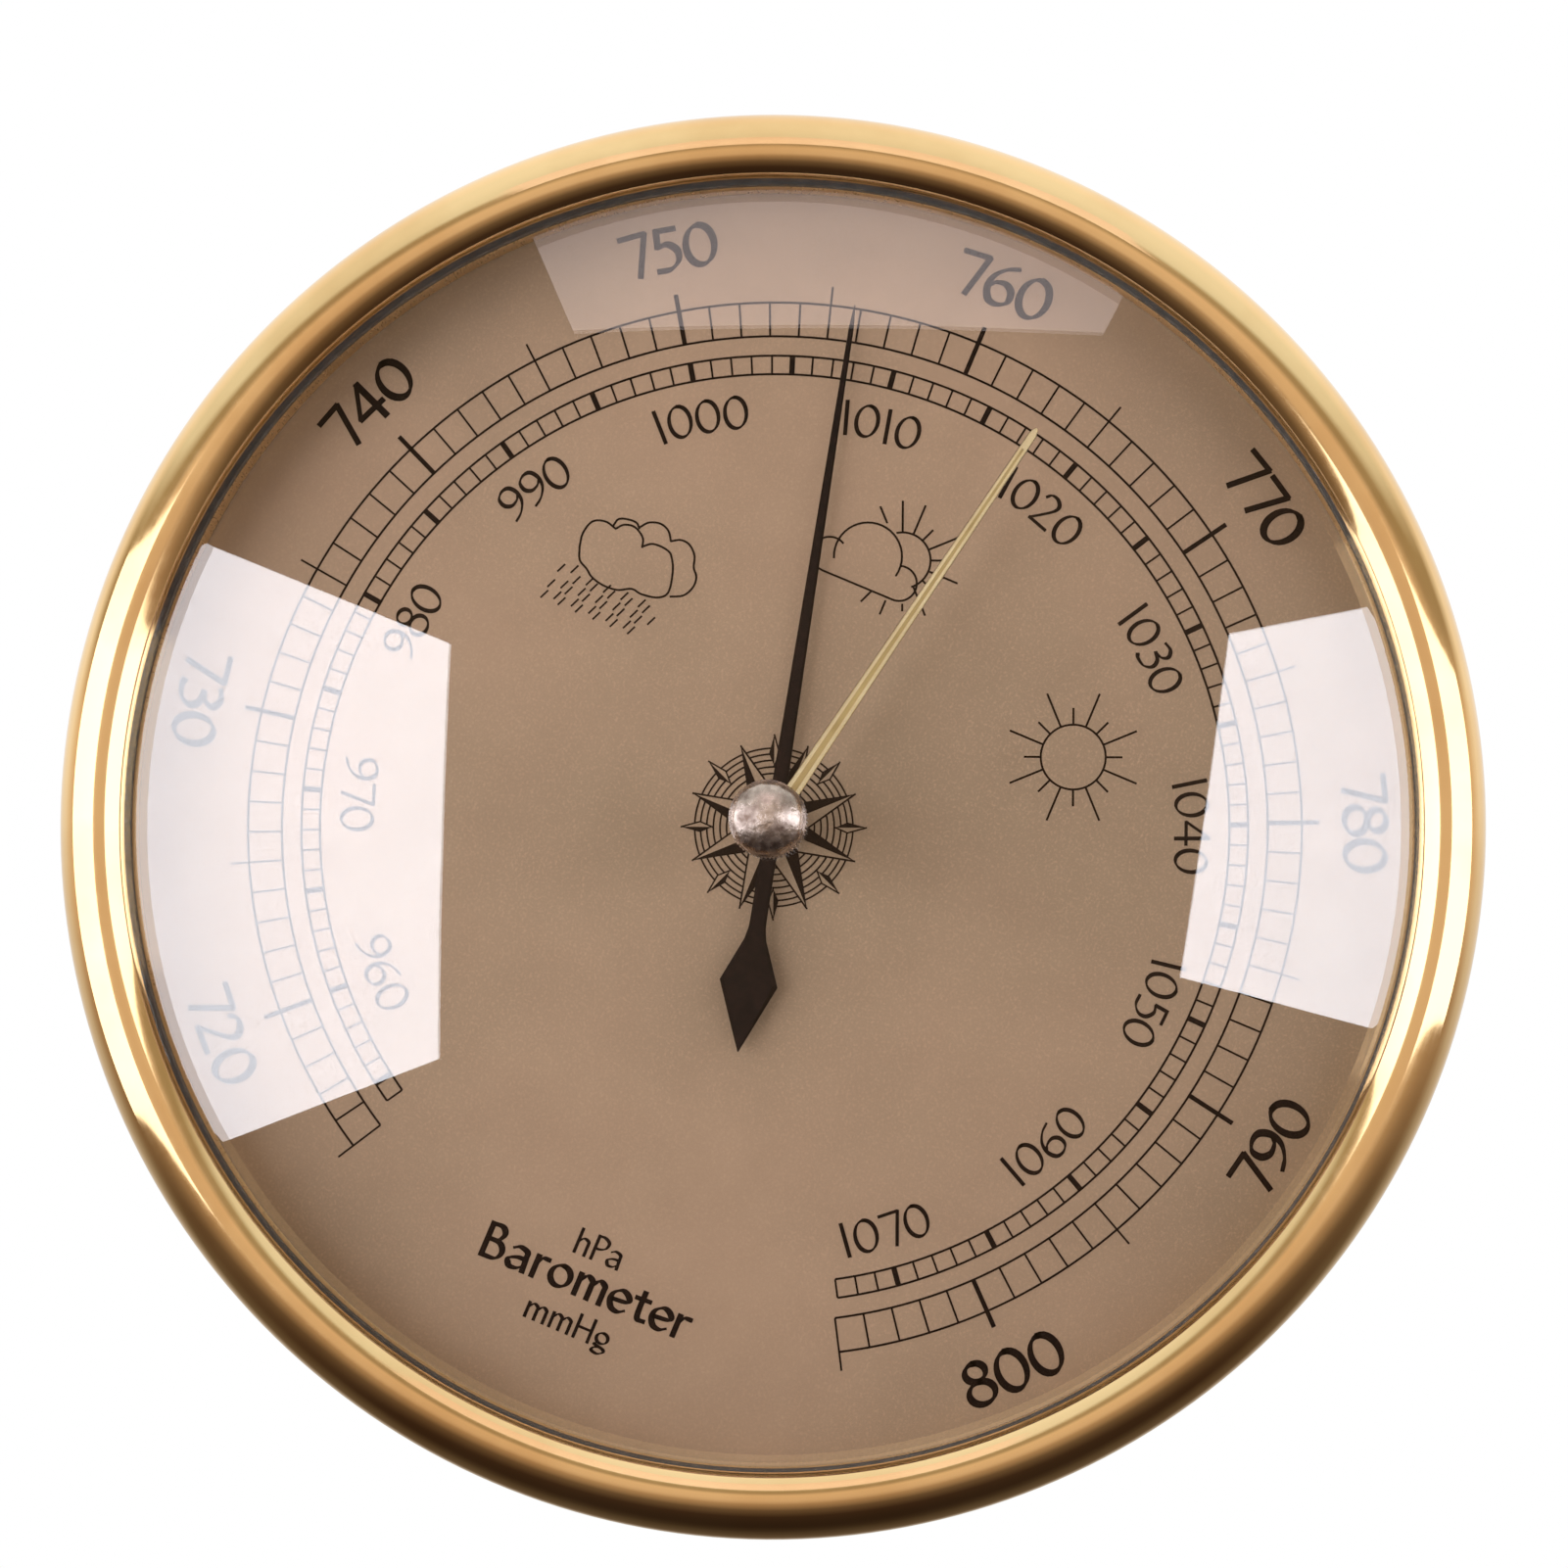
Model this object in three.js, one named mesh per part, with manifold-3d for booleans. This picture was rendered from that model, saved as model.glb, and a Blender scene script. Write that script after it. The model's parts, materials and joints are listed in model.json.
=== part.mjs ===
// A round aneroid barometer that hangs on a wall, with its whole movement inside.
//
// Every piece is laid out in the dial's own frame, in millimetres: x to the right and y up as the
// reader sees the dial, z out of the wall towards the reader. The wall is the plane z = 0 and the
// hands turn about the line x = y = 0. The exported group stands that frame up, so that +Z is up,
// the dial faces -Y and the origin is the centre of the flat back.
import * as THREE from "three";
import { mergeVertices } from "three/addons/utils/BufferGeometryUtils.js";
import Module from "manifold-3d";

const wasm = await Module();
wasm.setup();

// ---- driving dimensions -------------------------------------------------------------------------

const GAP = 0.3; // left between the faces of two pieces that rest on each other
const BORE_GAP = 0.15; // radial play of a shaft or a screw in its hole
const ROUND = 48; // facets round a large ring
const SMALL = 14; // facets round a screw, pillar or shaft
const TINY = 10; // facets round a pin

// Bezel and glass.
const BEZEL_RADIUS = 64;
const OPENING_RADIUS = 57.45;
const CREST_RADIUS = 60.3;
const CREST_Z = 36.3;
const LIP_Z = 33.5;
const SHOULDER_Z = 31.3;
const SKIRT_Z = 26.5;
const SKIRT_THICKNESS = 1.4;
const LENS_RADIUS = 58.8;
const LENS_THICKNESS = 2;
const LENS_EDGE_Z = LIP_Z - GAP - LENS_THICKNESS;
const LENS_RISE = 5;
const LENS_HOLE_RADIUS = 1.6;

// Case.
const CASE_RADIUS = 58.7;
const CASE_WALL = 1.2;
const BACK_THICKNESS = 1.6;
const DIAL_LEDGE_Z = 22.9;
const MOUTH_RADIUS = 60.5;
const FLANGE_RADIUS = 62.3;
const FLANGE_Z = 27.2;
const FLANGE_THICKNESS = 1.2;
const KEYHOLE_Y = 45;
const KEYHOLE_RADIUS = 4.5;
const KEYHOLE_SLOT_RADIUS = 2.1;
const KEYHOLE_SLOT_Y = 52.5;

// Dial and hands.
const DIAL_RADIUS = 59;
const DIAL_THICKNESS = 0.8;
const DIAL_HOLE_RADIUS = 2;
const DIAL_Z = DIAL_LEDGE_Z + GAP;
const DIAL_FACE_Z = DIAL_Z + DIAL_THICKNESS;
const HAND_Z = 25.8;
const HAND_THICKNESS = 0.4;
const HAND_LENGTH = 48;
const HAND_TAIL = 20.65;
const HAND_ANGLE = -14; // degrees clockwise from twelve o'clock, 756 mmHg on the scale
const SET_HAND_Z = 32.5;
const SET_HAND_THICKNESS = 0.6;
const SET_HAND_LENGTH = 41.8;
const SET_HAND_ANGLE = 11.9;
const KNOB_RADIUS = 3.5;
const KNOB_Z = 39.3;
const KNOB_HEIGHT = 6;
const SET_SHAFT_RADIUS = 1.3;

// Movement: the plate that carries it, and the levers that carry the capsule's travel to the hand.
const PLATE_RADIUS = 45;
const PLATE_Z = 6;
const PLATE_THICKNESS = 1.6;
const PLATE_TOP = PLATE_Z + PLATE_THICKNESS;
const FLOOR = PLATE_TOP + GAP; // where a piece that stands on the plate begins
const PILLAR_CIRCLE = 31;
const PILLAR_COUNT = 3;
const CAPSULE = new THREE.Vector2(-9, -9);
const CAPSULE_RADIUS = 19;
const CAPSULE_MIDDLE_Z = 11.35;
const BRIDGE_X = -32.5; // left face of the bridge's upright
const BRIDGE_WIDTH = 26;
const BRIDGE_SHELF_Z = 15.2;
const SHEET = 1.5; // thickness of the bridge's metal
const SPRING_Z = 17;
const SPRING_THICKNESS = 1;
const SPRING_WIDTH = 16;
const SPRING_HINGE_X = -26.5; // the edge of the clamp, where the mainspring bends
const LEVER_THICKNESS = 1.3;
const LEVER_Z = SPRING_Z + SPRING_THICKNESS + GAP;
const ROCKER_X = 20;
const ROCKER_Z = 10;
const ROCKER_RADIUS = 0.8;
const CRANK_RADIUS = 1.7;
const CHAIN_ARM_LENGTH = 8.5;
const CHAIN_Z = ROCKER_Z + CHAIN_ARM_LENGTH;
const CHAIN_Y = 0.6; // the chain leaves the drum on this side of the hand's axis
const LINK = new THREE.Vector2(ROCKER_X + CRANK_RADIUS, CAPSULE.y);
const FRAME_POSTS = [new THREE.Vector2(12, 16), new THREE.Vector2(-16, 18)];
const LOWER_BAR_Z = 15.2;
const UPPER_BAR_Z = 20.4;
const BAR_THICKNESS = 1.2;
const ARBOR_RADIUS = 0.6;
const ADJUSTER = new THREE.Vector2(-35.3, CAPSULE.y);
const ADJUSTER_HOLE_RADIUS = 3.5;
const BRIDGE_SCREW_OFFSET = 9;
const CLAMP_SCREW = new THREE.Vector2(-29.3, 5); // x, and the distance to either side in y

// ---- materials ----------------------------------------------------------------------------------

const finish = (color, roughness, metalness, more = {}) =>
  new THREE.MeshStandardMaterial({ color, roughness, metalness, ...more });
const polishedBrass = finish(0xd8aa6a, 0.18, 1);
const plainBrass = finish(0xb98f4e, 0.4, 1);
const caseLacquer = finish(0x9a7440, 0.38, 0.9);
const glass = finish(0xf2f6f4, 0.03, 0, { transparent: true, opacity: 0.25 });
const rubber = finish(0x1d1a18, 0.8, 0);
const champagne = finish(0xa98e70, 0.45, 0.5);
const blackLacquer = finish(0x100e0d, 0.35, 0.1);
const nickel = finish(0xc9c8c4, 0.22, 1);
const steel = finish(0x8d9196, 0.35, 1);
const blueSteel = finish(0x2c3a52, 0.3, 1);
const capsuleMetal = finish(0xc4b27a, 0.3, 1);
const fibre = finish(0x6a3a24, 0.85, 0);

// ---- shapes -------------------------------------------------------------------------------------

const point = (x, y) => new THREE.Vector2(x, y);

// A profile's points in (radius, height), turned about the z axis. They may run either way round.
function turned(profile, segments = SMALL) {
  const points = profile.map(([r, h]) => point(r, h));
  if (THREE.ShapeUtils.area(points) < 0) points.reverse();
  points.push(points[0].clone());
  return new THREE.LatheGeometry(points, segments).rotateX(Math.PI / 2);
}

const ring = (inner, outer, low, high, segments = SMALL) =>
  turned([[inner, low], [outer, low], [outer, high], [inner, high]], segments);

const rod = (radius, low, high, segments = SMALL) => ring(0, radius, low, high, segments);

// A flat outline in x and y, thickened from z = low to z = high.
const plate = (shape, low, high, curveSegments = 6) =>
  new THREE.ExtrudeGeometry(shape, {
    depth: high - low,
    bevelEnabled: false,
    curveSegments,
  }).translate(0, 0, low);

// An outline drawn in x and z, thickened along y from low to high.
const upright = (shape, low, high, curveSegments = 6) =>
  plate(shape, -high, -low, curveSegments).rotateX(Math.PI / 2);

// A solid of revolution about z, laid along y.
const alongY = (geometry) => geometry.rotateX(-Math.PI / 2);

function polygon(corners) {
  return new THREE.Shape(corners.map(([x, y]) => point(x, y)));
}

function circlePoints(x, y, radius, facets = TINY) {
  return Array.from({ length: facets }, (_, i) => {
    const angle = (2 * Math.PI * i) / facets;
    return point(x + radius * Math.cos(angle), y + radius * Math.sin(angle));
  });
}

const circleShape = (...circle) => new THREE.Shape(circlePoints(...circle));
const circlePath = (...circle) => new THREE.Path(circlePoints(...circle));

// The outline round two circles of one radius.
function stadium(from, to, radius) {
  const along = Math.atan2(to.y - from.y, to.x - from.x);
  const shape = new THREE.Shape();
  shape.absarc(to.x, to.y, radius, along - Math.PI / 2, along + Math.PI / 2, false);
  shape.absarc(from.x, from.y, radius, along + Math.PI / 2, along + 1.5 * Math.PI, false);
  return shape;
}

// Points of a quarter ellipse about (centreR, centreH), from one angle to another in degrees.
function arc(centreR, centreH, a, b, from, to, steps) {
  return Array.from({ length: steps + 1 }, (_, i) => {
    const angle = THREE.MathUtils.degToRad(from + ((to - from) * i) / steps);
    return [centreR + a * Math.cos(angle), centreH + b * Math.sin(angle)];
  });
}

// ---- joining and cutting ------------------------------------------------------------------------

function solid(geometry) {
  const bare = geometry.clone();
  bare.deleteAttribute("normal");
  bare.deleteAttribute("uv");
  const merged = mergeVertices(bare, 1e-4);
  return new wasm.Manifold(
    new wasm.Mesh({
      numProp: 3,
      vertProperties: merged.attributes.position.array,
      triVerts: new Uint32Array(merged.index.array),
    }),
  );
}

function geometryOf(manifold) {
  const mesh = manifold.getMesh();
  const geometry = new THREE.BufferGeometry()
    .setAttribute("position", new THREE.BufferAttribute(mesh.vertProperties, 3))
    .setIndex(new THREE.BufferAttribute(mesh.triVerts, 1));
  geometry.computeVertexNormals();
  return geometry;
}

const cut = (body, ...tools) =>
  geometryOf(tools.reduce((left, tool) => left.subtract(solid(tool)), solid(body)));

const join = (first, ...others) =>
  geometryOf(others.reduce((sum, other) => sum.add(solid(other)), solid(first)));

// ---- building up the scene graph ----------------------------------------------------------------

const barometer = new THREE.Group();
barometer.rotation.x = Math.PI / 2;

function group(parent, x = 0, y = 0, z = 0) {
  const made = new THREE.Group();
  made.position.set(x, y, z);
  parent.add(made);
  return made;
}

function piece(parent, name, geometry, material, x = 0, y = 0, z = 0) {
  const mesh = new THREE.Mesh(geometry, material);
  mesh.name = name;
  mesh.position.set(x, y, z);
  parent.add(mesh);
  return mesh;
}

// A slotted cheese-head screw: its head sits on z = 0 and its shank runs down to z = -length.
function screw(headRadius, headHeight, shankRadius, length) {
  const body = turned([
    [0, -length],
    [shankRadius, -length],
    [shankRadius, 0],
    [headRadius, 0],
    [headRadius, headHeight * 0.75],
    [headRadius * 0.85, headHeight],
    [0, headHeight],
  ], TINY);
  const slotDepth = headHeight * 0.45;
  const slot = new THREE.BoxGeometry(3 * headRadius, headHeight * 0.35, 2 * slotDepth)
    .translate(0, 0, headHeight);
  return cut(body, slot);
}

// ---- case ---------------------------------------------------------------------------------------

const pillarAngles = Array.from(
  { length: PILLAR_COUNT },
  (_, i) => Math.PI / 2 + (2 * Math.PI * i) / PILLAR_COUNT,
);
const pillarAt = (angle) =>
  point(PILLAR_CIRCLE * Math.cos(angle), PILLAR_CIRCLE * Math.sin(angle));

const COUNTERSINK_RADIUS = 2.6;
const CASE_SCREW_RADIUS = 1.2;

// The countersunk hole of a case screw is the screw's own head, grown by the gap.
function countersunk(grow) {
  return [
    [0, -grow],
    [COUNTERSINK_RADIUS + grow, -grow],
    [COUNTERSINK_RADIUS + grow, 0.2],
    [CASE_SCREW_RADIUS + grow, BACK_THICKNESS - 0.2 + grow],
  ];
}

function buildCase() {
  const parent = group(barometer);
  const inner = CASE_RADIUS - CASE_WALL;
  const mouthInner = MOUTH_RADIUS - CASE_WALL;
  const cornerRadius = 2;
  const stepStart = DIAL_LEDGE_Z - CASE_WALL - 1.2;
  const cup = turned([
    [0, 0],
    ...arc(CASE_RADIUS - cornerRadius, cornerRadius, cornerRadius, cornerRadius, -90, 0, 3),
    [CASE_RADIUS, stepStart],
    [MOUTH_RADIUS, DIAL_LEDGE_Z - 0.6],
    [MOUTH_RADIUS, FLANGE_Z],
    [FLANGE_RADIUS, FLANGE_Z],
    [FLANGE_RADIUS, FLANGE_Z + FLANGE_THICKNESS],
    [mouthInner, FLANGE_Z + FLANGE_THICKNESS],
    [mouthInner, DIAL_LEDGE_Z],
    [inner, DIAL_LEDGE_Z],
    [inner, BACK_THICKNESS + 0.9],
    [inner - 0.9, BACK_THICKNESS],
    [0, BACK_THICKNESS],
  ], ROUND);
  const through = [-1, BACK_THICKNESS + 1];
  const keyholeTop = stadium(point(0, KEYHOLE_Y), point(0, KEYHOLE_SLOT_Y), KEYHOLE_SLOT_RADIUS);
  const screwHoles = pillarAngles.map((angle) => {
    const at = pillarAt(angle);
    const top = BACK_THICKNESS + 1;
    return turned([
      ...countersunk(BORE_GAP),
      [CASE_SCREW_RADIUS + BORE_GAP, top],
      [0, top],
    ], TINY).translate(at.x, at.y, -0.01);
  });
  const body = cut(
    cup,
    rod(KEYHOLE_RADIUS, ...through).translate(0, KEYHOLE_Y, 0),
    plate(keyholeTop, ...through),
    rod(ADJUSTER_HOLE_RADIUS, ...through).translate(ADJUSTER.x, ADJUSTER.y, 0),
    ...screwHoles,
  );
  piece(parent, "case_cup", body, caseLacquer);

  pillarAngles.forEach((angle, i) => {
    const at = pillarAt(angle);
    const low = BACK_THICKNESS + GAP;
    const high = PLATE_Z - GAP;
    const bore = CASE_SCREW_RADIUS + BORE_GAP;
    const pillar = turned([
      [bore, low],
      [3, low],
      [3, high],
      [0, high],
      [0, high - 0.4],
      [bore, high - 0.4],
    ]);
    piece(parent, `case_pillar_${i + 1}`, pillar, plainBrass, at.x, at.y);
    const shank = turned([
      ...countersunk(0),
      [CASE_SCREW_RADIUS, high - 0.7],
      [0, high - 0.7],
    ], TINY);
    const slot = new THREE.BoxGeometry(4 * COUNTERSINK_RADIUS, 0.7, 1);
    piece(parent, `case_screw_${i + 1}`, cut(shank, slot), steel, at.x, at.y, 0.1);
  });
}

// ---- bezel, glass and dial ----------------------------------------------------------------------

function buildFront() {
  const parent = group(barometer);
  const skirtInner = BEZEL_RADIUS - SKIRT_THICKNESS;
  const bezel = turned([
    ...arc(CREST_RADIUS, LIP_Z, CREST_RADIUS - OPENING_RADIUS, CREST_Z - LIP_Z, 180, 90, 5),
    ...arc(CREST_RADIUS, SHOULDER_Z, BEZEL_RADIUS - CREST_RADIUS, CREST_Z - SHOULDER_Z, 90, 0, 6)
      .slice(1),
    [BEZEL_RADIUS, SKIRT_Z],
    [skirtInner, SKIRT_Z],
    ...arc(
      CREST_RADIUS,
      SHOULDER_Z,
      skirtInner - CREST_RADIUS,
      CREST_Z - SKIRT_THICKNESS - SHOULDER_Z,
      0,
      90,
      3,
    ),
    [LENS_RADIUS + 0.4, LIP_Z + 0.9],
    [LENS_RADIUS + 0.4, LIP_Z],
  ], ROUND);
  piece(parent, "bezel", bezel, polishedBrass);

  // Both faces of the glass are shallow spherical caps about one centre.
  const outerRadius = (LENS_RADIUS ** 2 + LENS_RISE ** 2) / (2 * LENS_RISE);
  const capSteps = 5;
  const cap = (offset) =>
    Array.from({ length: capSteps + 1 }, (_, i) => {
      const r = LENS_HOLE_RADIUS + ((LENS_RADIUS - LENS_HOLE_RADIUS) * i) / capSteps;
      const fall = outerRadius - Math.sqrt(outerRadius ** 2 - r ** 2);
      return [r, LENS_EDGE_Z + LENS_RISE - fall + offset];
    });
  const lens = turned([...cap(0), ...cap(LENS_THICKNESS).reverse()], ROUND);
  piece(parent, "glass_lens", lens, glass);

  const gasketTop = LENS_EDGE_Z - GAP;
  const gasketBottom = gasketTop - 1.1;
  const gasket = ring(LENS_RADIUS - 1.2, LENS_RADIUS + 1.5, gasketBottom, gasketTop, ROUND);
  piece(parent, "lens_gasket", gasket, rubber);

  const spacerInner = LENS_RADIUS - 0.9;
  const spacer = ring(
    spacerInner,
    spacerInner + 1.2,
    DIAL_FACE_Z + GAP,
    gasketBottom - GAP,
    ROUND,
  );
  piece(parent, "dial_spacer_ring", spacer, plainBrass);

  const dial = ring(DIAL_HOLE_RADIUS, DIAL_RADIUS, DIAL_Z, DIAL_FACE_Z, ROUND);
  piece(parent, "dial_plate", dial, champagne);
}

// ---- hands --------------------------------------------------------------------------------------

const clockwise = (degrees) => -THREE.MathUtils.degToRad(degrees);

// The pressure hand: a long taper to twelve o'clock and a neck that ends in a lozenge.
function pressureHandShape() {
  const hubRadius = 2.4;
  const neck = 0.75;
  const lozengeWide = 2.65;
  const shape = polygon([
    [neck, 0],
    [0.6, 12],
    [0.22, HAND_LENGTH - 0.4],
    [0, HAND_LENGTH],
    [-0.22, HAND_LENGTH - 0.4],
    [-0.6, 12],
    [-neck, 0],
    [-neck, -8.4],
    [-lozengeWide, -14.4],
    [0, -HAND_TAIL],
    [lozengeWide, -14.4],
    [neck, -8.4],
  ]);
  return { shape, hubRadius };
}

function buildPressureHand() {
  const parent = group(barometer);
  parent.rotation.z = clockwise(HAND_ANGLE);
  const { shape, hubRadius } = pressureHandShape();
  const low = HAND_Z;
  const high = HAND_Z + HAND_THICKNESS;
  const collet = 1.35;
  const blade = cut(
    join(plate(shape, low, high), rod(hubRadius, low, high)),
    rod(collet + BORE_GAP, low - 1, high + 1),
  );
  piece(parent, "pressure_hand", blade, blackLacquer);

  const bore = ARBOR_RADIUS + BORE_GAP;
  const hub = turned([
    [bore, low - 1],
    [2.1, low - 1],
    [2.1, low - GAP],
    [collet, low - GAP],
    [collet, high + 0.7],
    [bore, high + 0.7],
  ]);
  piece(parent, "hand_collet", hub, plainBrass);
}

function buildSetHand() {
  const parent = group(barometer);
  parent.rotation.z = clockwise(SET_HAND_ANGLE);
  const low = SET_HAND_Z;
  const high = SET_HAND_Z + SET_HAND_THICKNESS;
  const tip = SET_HAND_LENGTH;
  const outline = polygon([
    [0.7, 0],
    [0.38, tip - 0.5],
    [0, tip],
    [-0.38, tip - 0.5],
    [-0.7, 0],
  ]);
  const rivet = 0.8;
  const blade = cut(
    join(plate(outline, low, high), rod(2, low, high)),
    rod(rivet + BORE_GAP, low - 1, high + 1),
  );
  piece(parent, "set_hand", blade, polishedBrass);

  const glassInner = LENS_EDGE_Z + LENS_RISE;
  const glassOuter = glassInner + LENS_THICKNESS;
  const collarTop = glassInner - 1.1;
  const collarBottom = collarTop - 0.7;
  const boreEnd = KNOB_Z + 3.4;
  const shaft = turned([
    [0, low - 0.3],
    [rivet, low - 0.3],
    [rivet, high + GAP],
    [SET_SHAFT_RADIUS, high + GAP],
    [SET_SHAFT_RADIUS, collarBottom],
    [2.4, collarBottom],
    [2.4, collarTop],
    [SET_SHAFT_RADIUS, collarTop],
    [SET_SHAFT_RADIUS, boreEnd - GAP],
    [0, boreEnd - GAP],
  ]);
  piece(parent, "set_shaft", shaft, plainBrass);

  const washerBore = SET_SHAFT_RADIUS + BORE_GAP;
  const rear = ring(washerBore, 3.2, collarTop + GAP, glassInner - GAP);
  piece(parent, "set_spring_washer", rear, steel);
  const front = ring(washerBore, 3, glassOuter + GAP, KNOB_Z - GAP);
  piece(parent, "set_fibre_washer", front, fibre);

  const top = KNOB_Z + KNOB_HEIGHT;
  const knob = turned([
    [washerBore, KNOB_Z],
    [2.6, KNOB_Z],
    [2.6, KNOB_Z + 0.6],
    [KNOB_RADIUS, KNOB_Z + 0.9],
    [KNOB_RADIUS, top - 2.4],
    ...arc(0, top - 2.4, KNOB_RADIUS, 2.4, 18, 90, 4),
    [0, boreEnd],
    [washerBore, boreEnd],
  ]);
  piece(parent, "set_knob", knob, nickel);
}

// ---- movement: plate and bridge -----------------------------------------------------------------

const BRIDGE_SCREW_RADIUS = 1.2;
const CAPSULE_FOOT_RADIUS = 2;
const ADJUSTER_RADIUS = 1.5;

function buildPlate() {
  const parent = group(barometer);
  const disc = circleShape(0, 0, PLATE_RADIUS, 48);
  disc.holes.push(
    circlePath(CAPSULE.x, CAPSULE.y, CAPSULE_FOOT_RADIUS + GAP),
    circlePath(ADJUSTER.x, ADJUSTER.y, ADJUSTER_RADIUS + GAP),
    ...[-1, 1].map((side) =>
      circlePath(
        ADJUSTER.x,
        ADJUSTER.y + side * BRIDGE_SCREW_OFFSET,
        BRIDGE_SCREW_RADIUS + BORE_GAP,
      ),
    ),
  );
  piece(parent, "movement_plate", plate(disc, PLATE_Z, PLATE_TOP), plainBrass);

  // The rear adjusting screw pushes on the foot of the bridge, which tilts the mainspring.
  const headRadius = 2.6;
  const headBottom = 3.3;
  const headTop = 5.4;
  const adjuster = turned([
    [0, headBottom],
    [headRadius, headBottom],
    [headRadius, headTop],
    [ADJUSTER_RADIUS, headTop],
    [ADJUSTER_RADIUS, PLATE_TOP],
    [0, PLATE_TOP],
  ]);
  const slot = new THREE.BoxGeometry(4 * headRadius, 0.8, 2).translate(0, 0, headBottom);
  piece(parent, "adjusting_screw", cut(adjuster, slot), steel, ADJUSTER.x, ADJUSTER.y);
}

function buildBridge() {
  const parent = group(barometer, 0, CAPSULE.y);
  const half = BRIDGE_WIDTH / 2;
  const shelfTop = BRIDGE_SHELF_Z + SHEET;
  const footLeft = BRIDGE_X - 6.5;
  const shelfRight = BRIDGE_X + 6.5;
  const profile = polygon([
    [footLeft, FLOOR],
    [BRIDGE_X + SHEET, FLOOR],
    [BRIDGE_X + SHEET, BRIDGE_SHELF_Z],
    [shelfRight, BRIDGE_SHELF_Z],
    [shelfRight, shelfTop],
    [BRIDGE_X, shelfTop],
    [BRIDGE_X, FLOOR + SHEET],
    [footLeft, FLOOR + SHEET],
  ]);
  const clampHole = 1 + BORE_GAP;
  const holes = [-1, 1].flatMap((side) => [
    rod(BRIDGE_SCREW_RADIUS + BORE_GAP, FLOOR - 1, FLOOR + SHEET + 1, TINY)
      .translate(ADJUSTER.x, side * BRIDGE_SCREW_OFFSET, 0),
    rod(clampHole, BRIDGE_SHELF_Z - 1, shelfTop + 1, TINY)
      .translate(CLAMP_SCREW.x, side * CLAMP_SCREW.y, 0),
  ]);
  piece(parent, "bridge", cut(upright(profile, -half, half), ...holes), plainBrass);

  const clampBottom = SPRING_Z + SPRING_THICKNESS + GAP;
  const clampTop = clampBottom + 1.2;
  const clamp = polygon([
    [BRIDGE_X + 0.5, -SPRING_WIDTH / 2],
    [SPRING_HINGE_X - GAP, -SPRING_WIDTH / 2],
    [SPRING_HINGE_X - GAP, SPRING_WIDTH / 2],
    [BRIDGE_X + 0.5, SPRING_WIDTH / 2],
  ]);
  [-1, 1].forEach((side) =>
    clamp.holes.push(circlePath(CLAMP_SCREW.x, side * CLAMP_SCREW.y, clampHole)),
  );
  piece(parent, "spring_clamp", plate(clamp, clampBottom, clampTop, 3), steel);

  [-1, 1].forEach((side, i) => {
    const number = i + 1;
    const footTop = FLOOR + SHEET + GAP;
    piece(
      parent,
      `bridge_screw_${number}`,
      screw(2.2, 1.3, BRIDGE_SCREW_RADIUS, footTop - PLATE_Z - 0.2),
      steel,
      ADJUSTER.x,
      side * BRIDGE_SCREW_OFFSET,
      footTop,
    );
    const headAt = clampTop + GAP;
    piece(
      parent,
      `clamp_screw_${number}`,
      screw(2, 1.2, 1, headAt - BRIDGE_SHELF_Z),
      steel,
      CLAMP_SCREW.x,
      side * CLAMP_SCREW.y,
      headAt,
    );
  });
}

// ---- movement: capsule --------------------------------------------------------------------------

const POST_RADIUS = 1.8;
const KNIFE_PIN_RADIUS = 0.7;
const KNIFE_PIN_Z = LEVER_Z + KNIFE_PIN_RADIUS;

// One corrugated half of the capsule, as heights above the plane where the halves meet.
function diaphragm() {
  const skin = 0.5;
  const bossRadius = 3;
  const bossTop = 2.65;
  const crown = 2;
  const waves = 2;
  const stepsPerWave = 4;
  const inner = 3.8;
  const outer = CAPSULE_RADIUS - 2.2;
  const steps = waves * stepsPerWave;
  const corrugation = (offset) =>
    Array.from({ length: steps + 1 }, (_, i) => [
      inner + ((outer - inner) * i) / steps,
      crown + offset + 0.3 * Math.sin((2 * Math.PI * i) / stepsPerWave),
    ]);
  const rimBottom = 0.15;
  return [
    [0, bossTop],
    [bossRadius, bossTop],
    ...corrugation(0),
    [CAPSULE_RADIUS - 1.4, rimBottom + skin],
    [CAPSULE_RADIUS, rimBottom + skin],
    [CAPSULE_RADIUS, rimBottom],
    [CAPSULE_RADIUS - 1.9, rimBottom],
    ...corrugation(-skin).reverse(),
    [0, crown - skin],
  ];
}

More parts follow.
